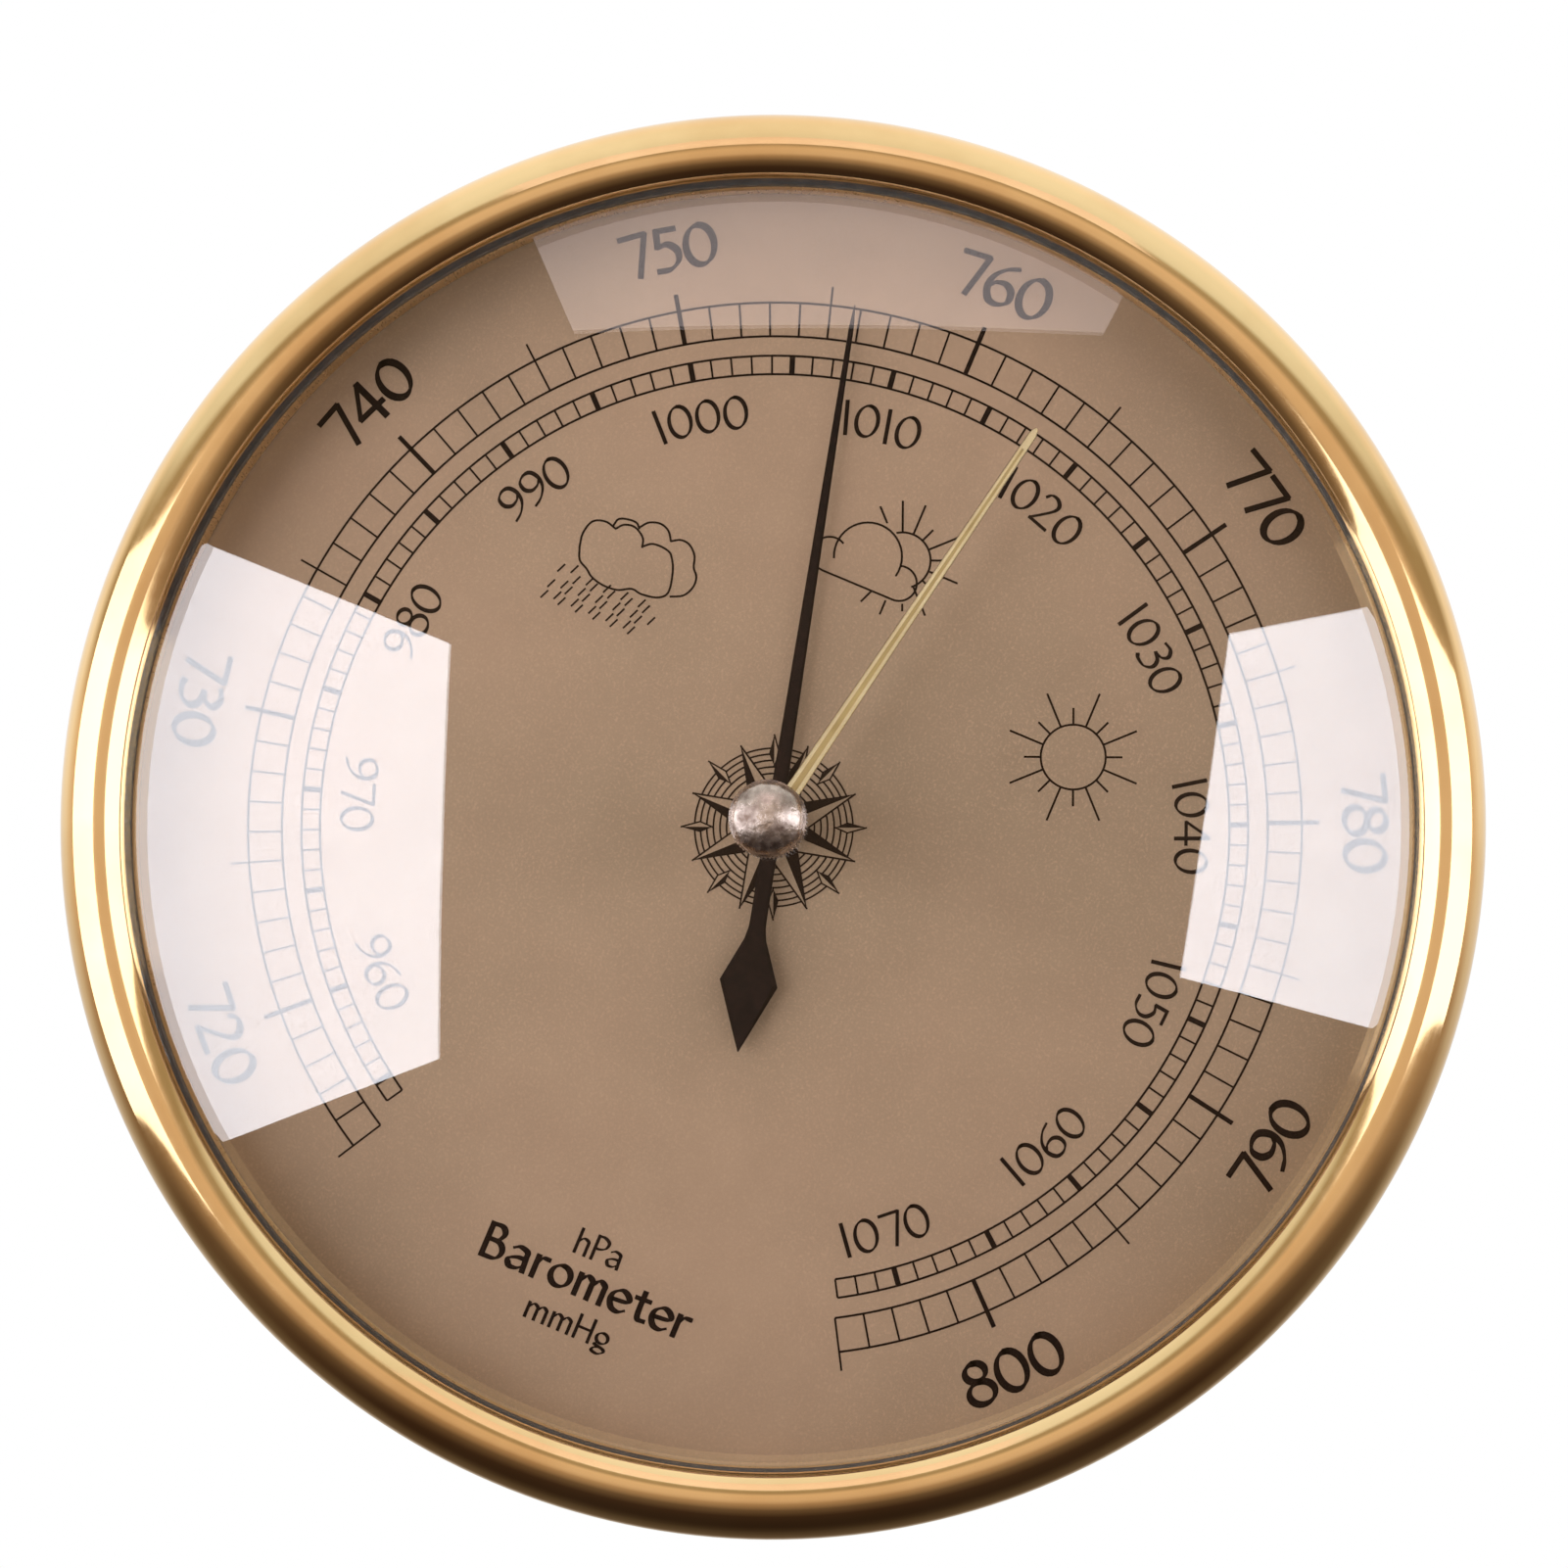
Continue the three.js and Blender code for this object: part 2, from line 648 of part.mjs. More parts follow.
function buildCapsule() {
  const parent = group(barometer, CAPSULE.x, CAPSULE.y);
  const half = diaphragm();
  const mirrored = half.map(([r, h]) => [r, -h]);
  const facets = 24;
  piece(parent, "capsule_upper", turned(half, facets), capsuleMetal, 0, 0, CAPSULE_MIDDLE_Z);
  piece(parent, "capsule_lower", turned(mirrored, facets), capsuleMetal, 0, 0, CAPSULE_MIDDLE_Z);

  const boss = 2.65;
  const footTop = CAPSULE_MIDDLE_Z - boss - GAP;
  const nutTop = PLATE_Z - GAP;
  const nutBottom = nutTop - 2.1;
  const foot = turned([
    [0, nutBottom + 0.2],
    [CAPSULE_FOOT_RADIUS, nutBottom + 0.2],
    [CAPSULE_FOOT_RADIUS, FLOOR],
    [4, FLOOR],
    [4, footTop],
    [0, footTop],
  ]);
  piece(parent, "capsule_foot", foot, plainBrass);
  const hexRadius = 3.8;
  const hexagon = polygon(
    Array.from({ length: 6 }, (_, i) => [
      hexRadius * Math.cos((Math.PI * i) / 3),
      hexRadius * Math.sin((Math.PI * i) / 3),
    ]),
  );
  hexagon.holes.push(circlePath(0, 0, CAPSULE_FOOT_RADIUS + BORE_GAP));
  piece(parent, "capsule_nut", plate(hexagon, nutBottom, nutTop), steel);

  const postBottom = CAPSULE_MIDDLE_Z + boss + GAP;
  const postTop = KNIFE_PIN_Z + 1.6;
  const pinHole = alongY(rod(KNIFE_PIN_RADIUS + BORE_GAP, -4, 4, TINY))
    .translate(0, 0, KNIFE_PIN_Z);
  piece(parent, "capsule_post", cut(rod(POST_RADIUS, postBottom, postTop), pinHole), plainBrass);
  const pin = alongY(rod(KNIFE_PIN_RADIUS, -4.2, 4.2, TINY));
  piece(parent, "knife_edge_pin", pin, blueSteel, 0, 0, KNIFE_PIN_Z);
}

// ---- movement: mainspring, main lever and link --------------------------------------------------

const RIVET_RADIUS = 0.7;
const RIVET = point(-3.4, 1.4);
const LINK_RADIUS = 0.4;

function buildLever() {
  const parent = group(barometer, 0, CAPSULE.y);
  const wide = SPRING_WIDTH / 2;
  const narrow = 3;
  const springEnd = -1;
  const leaf = polygon([
    [BRIDGE_X + 0.5, -wide],
    [SPRING_HINGE_X, -wide],
    [springEnd, -narrow],
    [springEnd, narrow],
    [SPRING_HINGE_X, wide],
    [BRIDGE_X + 0.5, wide],
  ]);
  const rivetHoles = [-1, 1].map((side) =>
    circlePath(RIVET.x, side * RIVET.y, RIVET_RADIUS + BORE_GAP),
  );
  leaf.holes.push(circlePath(CAPSULE.x, 0, POST_RADIUS + 0.7), ...rivetHoles);
  [-1, 1].forEach((side) =>
    leaf.holes.push(circlePath(CLAMP_SCREW.x, side * CLAMP_SCREW.y, 1.25)),
  );
  piece(parent, "mainspring", plate(leaf, SPRING_Z, SPRING_Z + SPRING_THICKNESS, 4), blueSteel);

  const leverTop = LEVER_Z + LEVER_THICKNESS;
  const beam = polygon([
    [-5, -2.6],
    [0, -2.6],
    [6, -1.9],
    [LINK.x + 2, -1.7],
    [LINK.x + 2, 1.7],
    [6, 1.9],
    [0, 2.6],
    [-5, 2.6],
  ]);
  beam.holes.push(circlePath(LINK.x, 0, LINK_RADIUS + GAP), ...rivetHoles);
  piece(parent, "main_lever", plate(beam, LEVER_Z, leverTop, 4), steel);

  [-1, 1].forEach((side, i) => {
    const rivet = turned([
      [0, SPRING_Z - GAP],
      [RIVET_RADIUS, SPRING_Z - GAP],
      [RIVET_RADIUS, leverTop + GAP],
      [1.2, leverTop + GAP],
      [0.9, leverTop + 0.8],
      [0, leverTop + 0.8],
    ], TINY);
    piece(parent, `lever_rivet_${i + 1}`, rivet, plainBrass, RIVET.x, side * RIVET.y);
  });

  // The link hangs from the lever between two nuts and its eye holds the crank pin.
  const eyeRadius = 1.4;
  const eye = circleShape(0, 0, eyeRadius);
  eye.holes.push(circlePath(0, 0, LINK_RADIUS + 0.25));
  const stem = rod(LINK_RADIUS, eyeRadius - 0.2, leverTop + 1.9 - ROCKER_Z, TINY);
  const linkRod = join(upright(eye, -0.4, 0.4), stem);
  piece(parent, "link_rod", linkRod, steel, LINK.x, 0, ROCKER_Z);
  const nutBore = LINK_RADIUS + BORE_GAP;
  const upperNut = ring(nutBore, 1.4, leverTop + GAP, leverTop + 1.5, TINY);
  piece(parent, "regulating_nut_upper", upperNut, plainBrass, LINK.x, 0);
  const lowerNut = ring(nutBore, 1.4, LEVER_Z - 1.5, LEVER_Z - GAP, TINY);
  piece(parent, "regulating_nut_lower", lowerNut, plainBrass, LINK.x, 0);
}

// ---- movement: rocking shaft and chain ----------------------------------------------------------

function buildRocker() {
  const parent = group(barometer, ROCKER_X, 0, ROCKER_Z);
  const crankInner = CAPSULE.y + 0.7;
  const crankOuter = crankInner + 0.8;
  const shaftEnd = 5.4;
  const crankMiddle = (crankInner + crankOuter) / 2;
  const shaft = alongY(rod(ROCKER_RADIUS, crankMiddle, shaftEnd));
  const crank = upright(
    stadium(point(0, 0), point(CRANK_RADIUS, 0), 1.2),
    crankInner,
    crankOuter,
  );
  const crankPin = alongY(rod(LINK_RADIUS, CAPSULE.y - 0.7, crankMiddle, TINY))
    .translate(CRANK_RADIUS, 0, 0);
  piece(parent, "rocking_shaft", join(shaft, crank, crankPin), steel);

  // Two upright bearings stand on the plate, between the crank and the free end.
  const stand = PLATE_TOP + GAP - ROCKER_Z;
  const bearing = polygon([
    [-3, stand],
    [3, stand],
    [3, stand + 0.8],
    [1.9, 0.4],
    [1.9, 1.4],
    [-1.9, 1.4],
    [-1.9, 0.4],
    [-3, stand + 0.8],
  ]);
  bearing.holes.push(circlePath(0, 0, ROCKER_RADIUS + BORE_GAP));
  const bearings = { crank_bearing: [-6.9, -5.3], end_bearing: [3.4, 5] };
  Object.entries(bearings).forEach(([name, [low, high]]) =>
    piece(parent, name, upright(bearing, low, high), plainBrass),
  );

  const collar = ROCKER_RADIUS + BORE_GAP;
  const armShape = new THREE.Shape();
  armShape.absarc(0, 0, 1.9, Math.PI * 0.75, Math.PI * 2.25, false);
  armShape.absarc(0, CHAIN_ARM_LENGTH, 0.8, 0, Math.PI, false);
  armShape.holes.push(circlePath(0, 0, collar));
  const chainPin = alongY(rod(0.3, CHAIN_Y - 0.2, 1.8, TINY))
    .translate(0, 0, CHAIN_ARM_LENGTH);
  piece(parent, "chain_arm", join(upright(armShape, 1.4, 2.2), chainPin), plainBrass);

  // The weight sits high enough to clear the plate when the shaft is turned fully back.
  const weight = new THREE.Shape();
  weight.absarc(0, 0, 1.9, -Math.PI * 0.72, Math.PI * 0.72, false);
  weight.absarc(-5, 0.4, 1.2, Math.PI * 0.4, Math.PI * 1.6, false);
  weight.holes.push(circlePath(0, 0, collar));
  piece(parent, "rocker_counterweight", upright(weight, -3.4, -1), plainBrass);

  const eyeRadius = 1.25;
  const strap = 0.3;
  const wrist = Math.asin(strap / eyeRadius);
  const chainShape = new THREE.Shape();
  chainShape.moveTo(-ROCKER_X, strap);
  chainShape.lineTo(-ROCKER_X, -strap);
  chainShape.absarc(0, 0, eyeRadius, -Math.PI + wrist, Math.PI - wrist, false);
  chainShape.holes.push(circlePath(0, 0, 0.75));
  const chain = upright(chainShape, CHAIN_Y, CHAIN_Y + 0.4);
  piece(parent, "fusee_chain", chain, steel, 0, 0, CHAIN_ARM_LENGTH);
}

// ---- movement: hand arbor -----------------------------------------------------------------------

function bar(low, hole) {
  const high = low + BAR_THICKNESS;
  const [a, b] = FRAME_POSTS;
  const middle = a.clone().add(b).multiplyScalar(0.5);
  const strip = plate(stadium(a, b, 2.8), low, high);
  const tongue = plate(stadium(middle, point(0, 0), 2.8), low, high);
  const screwHoles = FRAME_POSTS.map((at) =>
    rod(0.9 + BORE_GAP, low - 1, high + 1, TINY).translate(at.x, at.y, 0),
  );
  return cut(join(strip, tongue), rod(hole, low - 1, high + 1, TINY), ...screwHoles);
}

// A flat spiral strip in x and y, from the collet out to the stud.
function spiral(innerRadius, outerRadius, turns, width) {
  const steps = 16 * turns;
  const side = (offset) =>
    Array.from({ length: steps + 1 }, (_, i) => {
      const angle = (2 * Math.PI * turns * i) / steps;
      const r = innerRadius + ((outerRadius - innerRadius) * i) / steps + offset;
      return [r * Math.cos(angle), r * Math.sin(angle)];
    });
  return polygon([...side(width / 2), ...side(-width / 2).reverse()]);
}

function buildArbor() {
  const parent = group(barometer);
  const pivot = ARBOR_RADIUS - 0.15;
  const flange = 2.2;
  const drumCore = 0.5;
  const drumBottom = CHAIN_Z - 0.9;
  const drumTop = CHAIN_Z + 0.9;
  const arbor = turned([
    [0, LOWER_BAR_Z],
    [pivot, LOWER_BAR_Z],
    [pivot, LOWER_BAR_Z + BAR_THICKNESS + GAP],
    [ARBOR_RADIUS, LOWER_BAR_Z + BAR_THICKNESS + GAP],
    [ARBOR_RADIUS, drumBottom],
    [flange, drumBottom],
    [flange, drumBottom + 0.3],
    [drumCore, drumBottom + 0.3],
    [drumCore, drumTop - 0.3],
    [flange, drumTop - 0.3],
    [flange, drumTop],
    [1.1, drumTop],
    [1.1, drumTop + 0.6],
    [ARBOR_RADIUS, drumTop + 0.6],
    [ARBOR_RADIUS, HAND_Z + HAND_THICKNESS + 0.4],
    [0, HAND_Z + HAND_THICKNESS + 0.4],
  ], TINY);
  piece(parent, "hand_arbor", arbor, steel);
  piece(parent, "arbor_lower_bar", bar(LOWER_BAR_Z, pivot + BORE_GAP), plainBrass);
  piece(parent, "arbor_upper_bar", bar(UPPER_BAR_Z, ARBOR_RADIUS + BORE_GAP), plainBrass);

  const springOuter = 4.8;
  const springStrip = plate(spiral(1.4, springOuter, 3, 0.2), drumTop + 0.15, drumTop + 0.6);
  piece(parent, "hairspring", springStrip, blueSteel);
  const studX = springOuter + 0.9;
  const stud = rod(0.5, drumTop + 0.1, UPPER_BAR_Z - GAP, TINY);
  piece(parent, "hairspring_stud", stud, plainBrass, studX * 0.5, studX * 0.87);

  FRAME_POSTS.forEach((at, i) => {
    const number = i + 1;
    const bore = 0.9 + BORE_GAP;
    const lowerTop = LOWER_BAR_Z - GAP;
    const boreEnd = lowerTop - 4;
    const lower = turned([
      [0, FLOOR],
      [2.4, FLOOR],
      [2.4, lowerTop],
      [bore, lowerTop],
      [bore, boreEnd],
      [0, boreEnd],
    ]);
    piece(parent, `frame_post_${number}`, lower, plainBrass, at.x, at.y);
    const upperLow = LOWER_BAR_Z + BAR_THICKNESS + GAP;
    const upper = ring(bore, 2, upperLow, UPPER_BAR_Z - GAP);
    piece(parent, `frame_spacer_${number}`, upper, plainBrass, at.x, at.y);
    const headAt = UPPER_BAR_Z + BAR_THICKNESS + 0.1;
    const shankLength = headAt - boreEnd - GAP;
    const frameScrew = screw(1.9, 0.9, 0.9, shankLength);
    piece(parent, `frame_screw_${number}`, frameScrew, steel, at.x, at.y, headAt);
  });
}

buildCase();
buildFront();
buildPressureHand();
buildSetHand();
buildPlate();
buildBridge();
buildCapsule();
buildLever();
buildRocker();
buildArbor();

export default barometer;
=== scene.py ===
import json
import math

import bmesh
import bpy
from mathutils import Matrix, Vector


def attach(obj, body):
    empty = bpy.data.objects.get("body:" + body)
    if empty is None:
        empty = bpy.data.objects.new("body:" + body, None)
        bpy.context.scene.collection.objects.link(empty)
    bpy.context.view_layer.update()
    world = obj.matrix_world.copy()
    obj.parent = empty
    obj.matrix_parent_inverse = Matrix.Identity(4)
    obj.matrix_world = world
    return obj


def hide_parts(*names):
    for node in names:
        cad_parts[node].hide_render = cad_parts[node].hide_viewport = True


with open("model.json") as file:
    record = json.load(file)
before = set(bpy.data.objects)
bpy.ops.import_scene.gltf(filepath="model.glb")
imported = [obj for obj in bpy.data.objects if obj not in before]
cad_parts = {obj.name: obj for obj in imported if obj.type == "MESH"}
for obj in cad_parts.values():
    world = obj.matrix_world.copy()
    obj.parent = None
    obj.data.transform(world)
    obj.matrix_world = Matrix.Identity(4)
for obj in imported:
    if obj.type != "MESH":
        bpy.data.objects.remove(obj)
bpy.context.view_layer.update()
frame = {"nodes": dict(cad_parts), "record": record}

scene = bpy.context.scene
scene.view_settings.view_transform = "Standard"

# Dial frame: millimetres, x right, y up, z out of the dial towards the reader.
MM = 0.001
TAU = 2 * math.pi
FINE, MEDIUM, COARSE = 256, 96, 48  # steps in a turn, for large, small and tiny parts

DIAL_FACE = 24.0
ROLL = math.radians(22.9)           # how far the dial is turned clockwise in the view
RIGHT = Vector((math.cos(ROLL), math.sin(ROLL)))
UP = Vector((-math.sin(ROLL), math.cos(ROLL)))


def at(x, y, z):
    return Vector((x * MM, -z * MM, y * MM))


def seen(across, up, out):
    """A point from its distances across, up and out of the rolled view, in mm."""
    x, y = RIGHT * across + UP * up
    return at(x, y, out)


# ---------------------------------------------------------------- camera

EYE_DISTANCE = 600
EYE_ACROSS, EYE_UP = 0.03, -0.041   # how far off the dial's axis it is, per mm of distance
FRAME_WIDTH = 142.4                 # what the picture spans at the dial
SENSOR_WIDTH = 36
EYE = seen(EYE_ACROSS * EYE_DISTANCE, EYE_UP * EYE_DISTANCE, DIAL_FACE + EYE_DISTANCE)
AIM = seen(0.93, 3.94, DIAL_FACE)

camera_data = bpy.data.cameras.new("camera")
camera_data.sensor_width = SENSOR_WIDTH
camera_data.lens = SENSOR_WIDTH * EYE_DISTANCE / FRAME_WIDTH
camera_data.clip_start = 0.01
camera = bpy.data.objects.new("camera", camera_data)
scene.collection.objects.link(camera)
forward = (AIM - EYE).normalized()
picture_up = seen(0, 1, 0).normalized()
side = forward.cross(picture_up).normalized()
camera.matrix_world = Matrix.Translation(EYE) @ Matrix(
    (side, side.cross(forward), -forward)).transposed().to_4x4()
scene.camera = camera


# ---------------------------------------------------------------- materials

def new_material(name):
    """An empty node material, and its tree."""
    material = bpy.data.materials.new(name)
    material.use_nodes = True
    tree = material.node_tree
    tree.nodes.clear()
    return material, tree


class Tree:
    """Short calls for adding and joining shader nodes."""

    def __init__(self, tree):
        self.tree = tree

    def node(self, kind, inputs=None, **settings):
        made = self.tree.nodes.new(kind)
        for key, value in settings.items():
            setattr(made, key, value)
        for key, value in (inputs or {}).items():
            if isinstance(value, bpy.types.NodeSocket):
                self.tree.links.new(value, made.inputs[key])
            else:
                made.inputs[key].default_value = value
        return made

    def math(self, operation, *values):
        return self.node("ShaderNodeMath", dict(enumerate(values)),
                         operation=operation).outputs[0]

    def spread(self, value, low, high, start=0.3, end=0.7):
        """Maps start..end onto low..high."""
        made = self.node("ShaderNodeMapRange", {
            "Value": value, "From Min": start, "From Max": end,
            "To Min": low, "To Max": high})
        return made.outputs[0]

    def blend(self, factor, first, second):
        """A colour between two others."""
        first, second = (c if isinstance(c, bpy.types.NodeSocket) else (*c, 1)
                         for c in (first, second))
        return self.node("ShaderNodeMix", {0: factor, 6: first, 7: second},
                         data_type="RGBA").outputs[2]

    def noise(self, scale, detail, stretch=None):
        source = self.node("ShaderNodeTexCoord").outputs["Object"]
        if stretch:
            source = self.node("ShaderNodeMapping", {
                "Vector": source, "Scale": stretch}).outputs[0]
        return self.node("ShaderNodeTexNoise", {
            "Vector": source, "Scale": scale, "Detail": detail}).outputs[0]

    def lathe_lines(self, scale):
        """Fine rings about the dial's axis, as a lathe tool leaves them."""
        place = self.node("ShaderNodeTexCoord").outputs["Object"]
        parts = self.node("ShaderNodeSeparateXYZ", {"Vector": place}).outputs
        radius = self.math("SQRT", self.math(
            "ADD", self.math("MULTIPLY", parts[0], parts[0]),
            self.math("MULTIPLY", parts[2], parts[2])))
        along = self.node("ShaderNodeCombineXYZ", {"X": radius, "Y": parts[1]}).outputs[0]
        return self.node("ShaderNodeTexNoise", {
            "Vector": along, "Scale": scale, "Detail": 4}).outputs[0]

    def bump(self, height, strength, distance):
        """A normal from a height. distance is in mm."""
        return self.node("ShaderNodeBump", {
            "Height": height, "Strength": strength,
            "Distance": distance * MM}).outputs[0]

    def surface(self, **inputs):
        """The material's shader, from inputs spelt with underscores for spaces."""
        shader = self.node("ShaderNodeBsdfPrincipled", {
            key.replace("_", " "): (*value, 1) if isinstance(value, tuple) else value
            for key, value in inputs.items()})
        self.node("ShaderNodeOutputMaterial", {"Surface": shader.outputs[0]})


def metal(name, bright, dull, rough, lines=0.0, grain=0.0, grain_scale=900,
          stretch=None, tarnish_scale=60):
    """A worked metal: tarnish in soft patches, tool marks and fine scratches."""
    material, nodes = new_material(name)
    t = Tree(nodes)
    tarnish = t.noise(tarnish_scale, 5)
    colour = t.blend(t.spread(tarnish, 0, 1, 0.42, 0.72), bright, dull)
    fine = t.noise(grain_scale, 4, stretch=stretch)
    roughness = t.math("ADD", t.spread(fine, rough * 0.8, rough * 1.25),
                       t.spread(tarnish, 0, rough * 0.5, 0.5, 0.75))
    height = t.math("MULTIPLY", fine, grain)
    if lines:
        turning = t.lathe_lines(2500)
        roughness = t.math("ADD", roughness, t.spread(turning, -0.25 * rough, 0.25 * rough))
        height = t.math("ADD", height, t.math("MULTIPLY", turning, lines))
    t.surface(Base_Color=colour, Metallic=1.0, Roughness=roughness,
              Normal=t.bump(height, 0.5, 0.01))
    return material


def champagne(name, light, dark):
    """Satin metallic lacquer: a fine sparkle over soft clouds of colour."""
    material, nodes = new_material(name)
    t = Tree(nodes)
    clouds = t.noise(22, 4)
    speck = t.noise(4200, 2)
    colour = t.blend(t.spread(clouds, 0, 1, 0.35, 0.68), light, dark)
    pale = tuple(min(1, c * 1.35) for c in light)
    colour = t.blend(t.spread(speck, 0, 0.55, 0.5, 0.75), colour, pale)
    t.surface(Base_Color=colour, Metallic=0.45,
              Roughness=t.spread(speck, 0.44, 0.58),
              Normal=t.bump(speck, 0.25, 0.012))
    return material


def plain(name, light, dark, rough, scale, bump=0.01, specular=0.5):
    """Paint, rubber or fibre: two close tones in a fine grain."""
    material, nodes = new_material(name)
    t = Tree(nodes)
    grain = t.noise(scale, 5)
    t.surface(Base_Color=t.blend(t.spread(grain, 0, 1, 0.4, 0.7), light, dark),
              Roughness=t.spread(grain, rough * 0.85, rough * 1.15),
              Specular_IOR_Level=specular, Normal=t.bump(grain, 0.3, bump))
    return material


GLASS_MIRROR, GLASS_EDGE_MIRROR = 0.08, 0.85


def clear_glass(name):
    """Polished glass: a sharp mirror that grows at grazing angles over a clear pane."""
    material, nodes = new_material(name)
    t = Tree(nodes)
    facing = t.node("ShaderNodeLayerWeight", {"Blend": 0.5}).outputs["Facing"]
    share = t.math("ADD", GLASS_MIRROR,
                   t.math("MULTIPLY", GLASS_EDGE_MIRROR, t.math("POWER", facing, 5.0)))
    waves = t.bump(t.noise(35, 2), 0.02, 0.2)
    mirror = t.node("ShaderNodeBsdfGlossy", {
        "Color": (1, 0.985, 0.985, 1), "Roughness": 0.0, "Normal": waves})
    dust = t.spread(t.noise(160, 6), 0, 1, 0.35, 0.8)
    tint = t.blend(dust, (0.99, 0.995, 0.99), (0.96, 0.96, 0.955))
    through = t.node("ShaderNodeBsdfTransparent", {"Color": tint})
    mix = t.node("ShaderNodeMixShader", {
        0: share, 1: through.outputs[0], 2: mirror.outputs[0]})
    t.node("ShaderNodeOutputMaterial", {"Surface": mix.outputs[0]})
    return material


MATERIALS = {
    "bezel_brass": metal("bezel_brass", (0.93, 0.66, 0.34), (0.80, 0.52, 0.24), 0.07,
                         lines=0.5, grain=0.1, grain_scale=700),
    "case_brass": metal("case_brass", (0.82, 0.58, 0.29), (0.62, 0.41, 0.19), 0.24,
                        lines=1.4, grain=0.05),
    "lens_glass": clear_glass("lens_glass"),
    "gasket_rubber": plain("gasket_rubber", (0.02, 0.017, 0.014), (0.04, 0.034, 0.03),
                           0.7, 900),
    "dial_champagne": champagne("dial_champagne", (0.202, 0.127, 0.077),
                                (0.158, 0.105, 0.061)),
    "hand_black": plain("hand_black", (0.003, 0.0015, 0.001), (0.007, 0.003, 0.002),
                        0.5, 1500, 0.006, specular=0.04),
    "set_hand_gold": metal("set_hand_gold", (1.0, 0.93, 0.68), (0.93, 0.84, 0.58), 0.16,
                           grain=0.05, grain_scale=1400),
    "knob_nickel": metal("knob_nickel", (0.52, 0.43, 0.375), (0.14, 0.095, 0.075), 0.24,
                         grain=15, grain_scale=1500, tarnish_scale=700),
    "movement_brass": metal("movement_brass", (0.84, 0.60, 0.28), (0.62, 0.41, 0.17),
                            0.3, grain=1.0, grain_scale=500, stretch=(1, 1, 14)),
    "movement_steel": metal("movement_steel", (0.60, 0.60, 0.61), (0.40, 0.40, 0.41),
                            0.25, grain=0.8, grain_scale=600, stretch=(12, 1, 1)),
    "spring_blue": metal("spring_blue", (0.05, 0.08, 0.24), (0.09, 0.05, 0.17), 0.2,
                         grain=0.4, grain_scale=800),
    "capsule_bronze": metal("capsule_bronze", (0.78, 0.56, 0.36), (0.58, 0.38, 0.22),
                            0.32, grain=0.9, grain_scale=650),
    "dial_print": plain("dial_print", (0.003, 0.0012, 0.0008), (0.007, 0.003, 0.0015),
                        0.6, 2600, 0.004, specular=0.03),
    "washer_fibre": plain("washer_fibre", (0.30, 0.045, 0.028), (0.18, 0.025, 0.018),
                          0.75, 1800),
}


# ---------------------------------------------------------------- mesh helpers

SHARP = 32  # degrees between faces, above which an edge stays crisp


def mesh_object(name, verts, faces):
    """A closed mesh from points in the dial frame, its faces turned outwards."""
    mesh = bpy.data.meshes.new(name)
    mesh.from_pydata([at(*v) for v in verts], [], faces)
    work = bmesh.new()
    work.from_mesh(mesh)
    bmesh.ops.recalc_face_normals(work, faces=work.faces)
    work.to_mesh(mesh)
    work.free()
    made = bpy.data.objects.new(name, mesh)
    scene.collection.objects.link(made)
    return made


def soften(mesh, sharp=SHARP):
    mesh.shade_smooth()
    mesh.set_sharp_from_angle(angle=math.radians(sharp))


def build(name, verts, faces, slot, body="case", smooth=True, sharp=SHARP, replaces=()):
    """A piece that rides on its body and takes its finish from its slot."""
    piece = mesh_object(name, verts, faces)
    if smooth:
        soften(piece.data, sharp)
    piece.data.materials.append(MATERIALS[slot])
    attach(piece, body)
    if replaces:
        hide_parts(*replaces)
    return piece


def swept(profile, segments, ripple, centre):
    """A profile of (r, z) points copied round the axis, row after row."""
    verts = []
    for i in range(segments):
        turn = TAU * i / segments
        for k, (r, z) in enumerate(profile):
            radius = r + (ripple(k, i) if ripple else 0)
            verts.append((centre[0] + radius * math.cos(turn),
                          centre[1] + radius * math.sin(turn), z))
    return verts


def lathe(profile, segments=FINE):
    """Verts and faces of a closed profile turned about the dial's axis."""
    count = len(profile)
    faces = []
    for i in range(segments):
        j = (i + 1) % segments
        for k in range(count):
            m = (k + 1) % count
            faces.append((i * count + k, j * count + k, j * count + m, i * count + m))
    return swept(profile, segments, None, (0, 0)), faces


def capped_lathe(profile, segments=FINE, ripple=None, centre=(0, 0)):
    """The same for an open profile whose two ends close on flat caps."""
    count = len(profile)
    faces = []
    for i in range(segments):
        j = (i + 1) % segments
        for k in range(count - 1):
            faces.append((i * count + k, j * count + k, j * count + k + 1, i * count + k + 1))
    faces.append(tuple(i * count for i in range(segments)))
    faces.append(tuple(i * count + count - 1 for i in reversed(range(segments))))
    return swept(profile, segments, ripple, centre), faces


def prism(points, low, high):
    """A straight-sided block from an outline."""
    n = len(points)
    verts = [(x, y, low) for x, y in points] + [(x, y, high) for x, y in points]
    faces = [tuple(reversed(range(n))), tuple(range(n, 2 * n))]
    faces += [(i, (i + 1) % n, n + (i + 1) % n, n + i) for i in range(n)]
    return verts, faces


def ellipse(cx, cz, a, b, start, end, steps):
    """Points on an ellipse, between two angles."""
    return [(cx + a * math.cos(math.radians(start + (end - start) * i / steps)),
             cz + b * math.sin(math.radians(start + (end - start) * i / steps)))
            for i in range(steps + 1)]


def flattened(cx, cz, a, b, start, end, steps, power):
    """The same with a broader crest: a superellipse."""
    run = []
    for i in range(steps + 1):
        t = math.radians(start + (end - start) * i / steps)
        c, s = math.cos(t), math.sin(t)
        run.append((cx + math.copysign(a * abs(c) ** (2 / power), c),
                    cz + b * abs(s) ** (2 / power)))
    return run


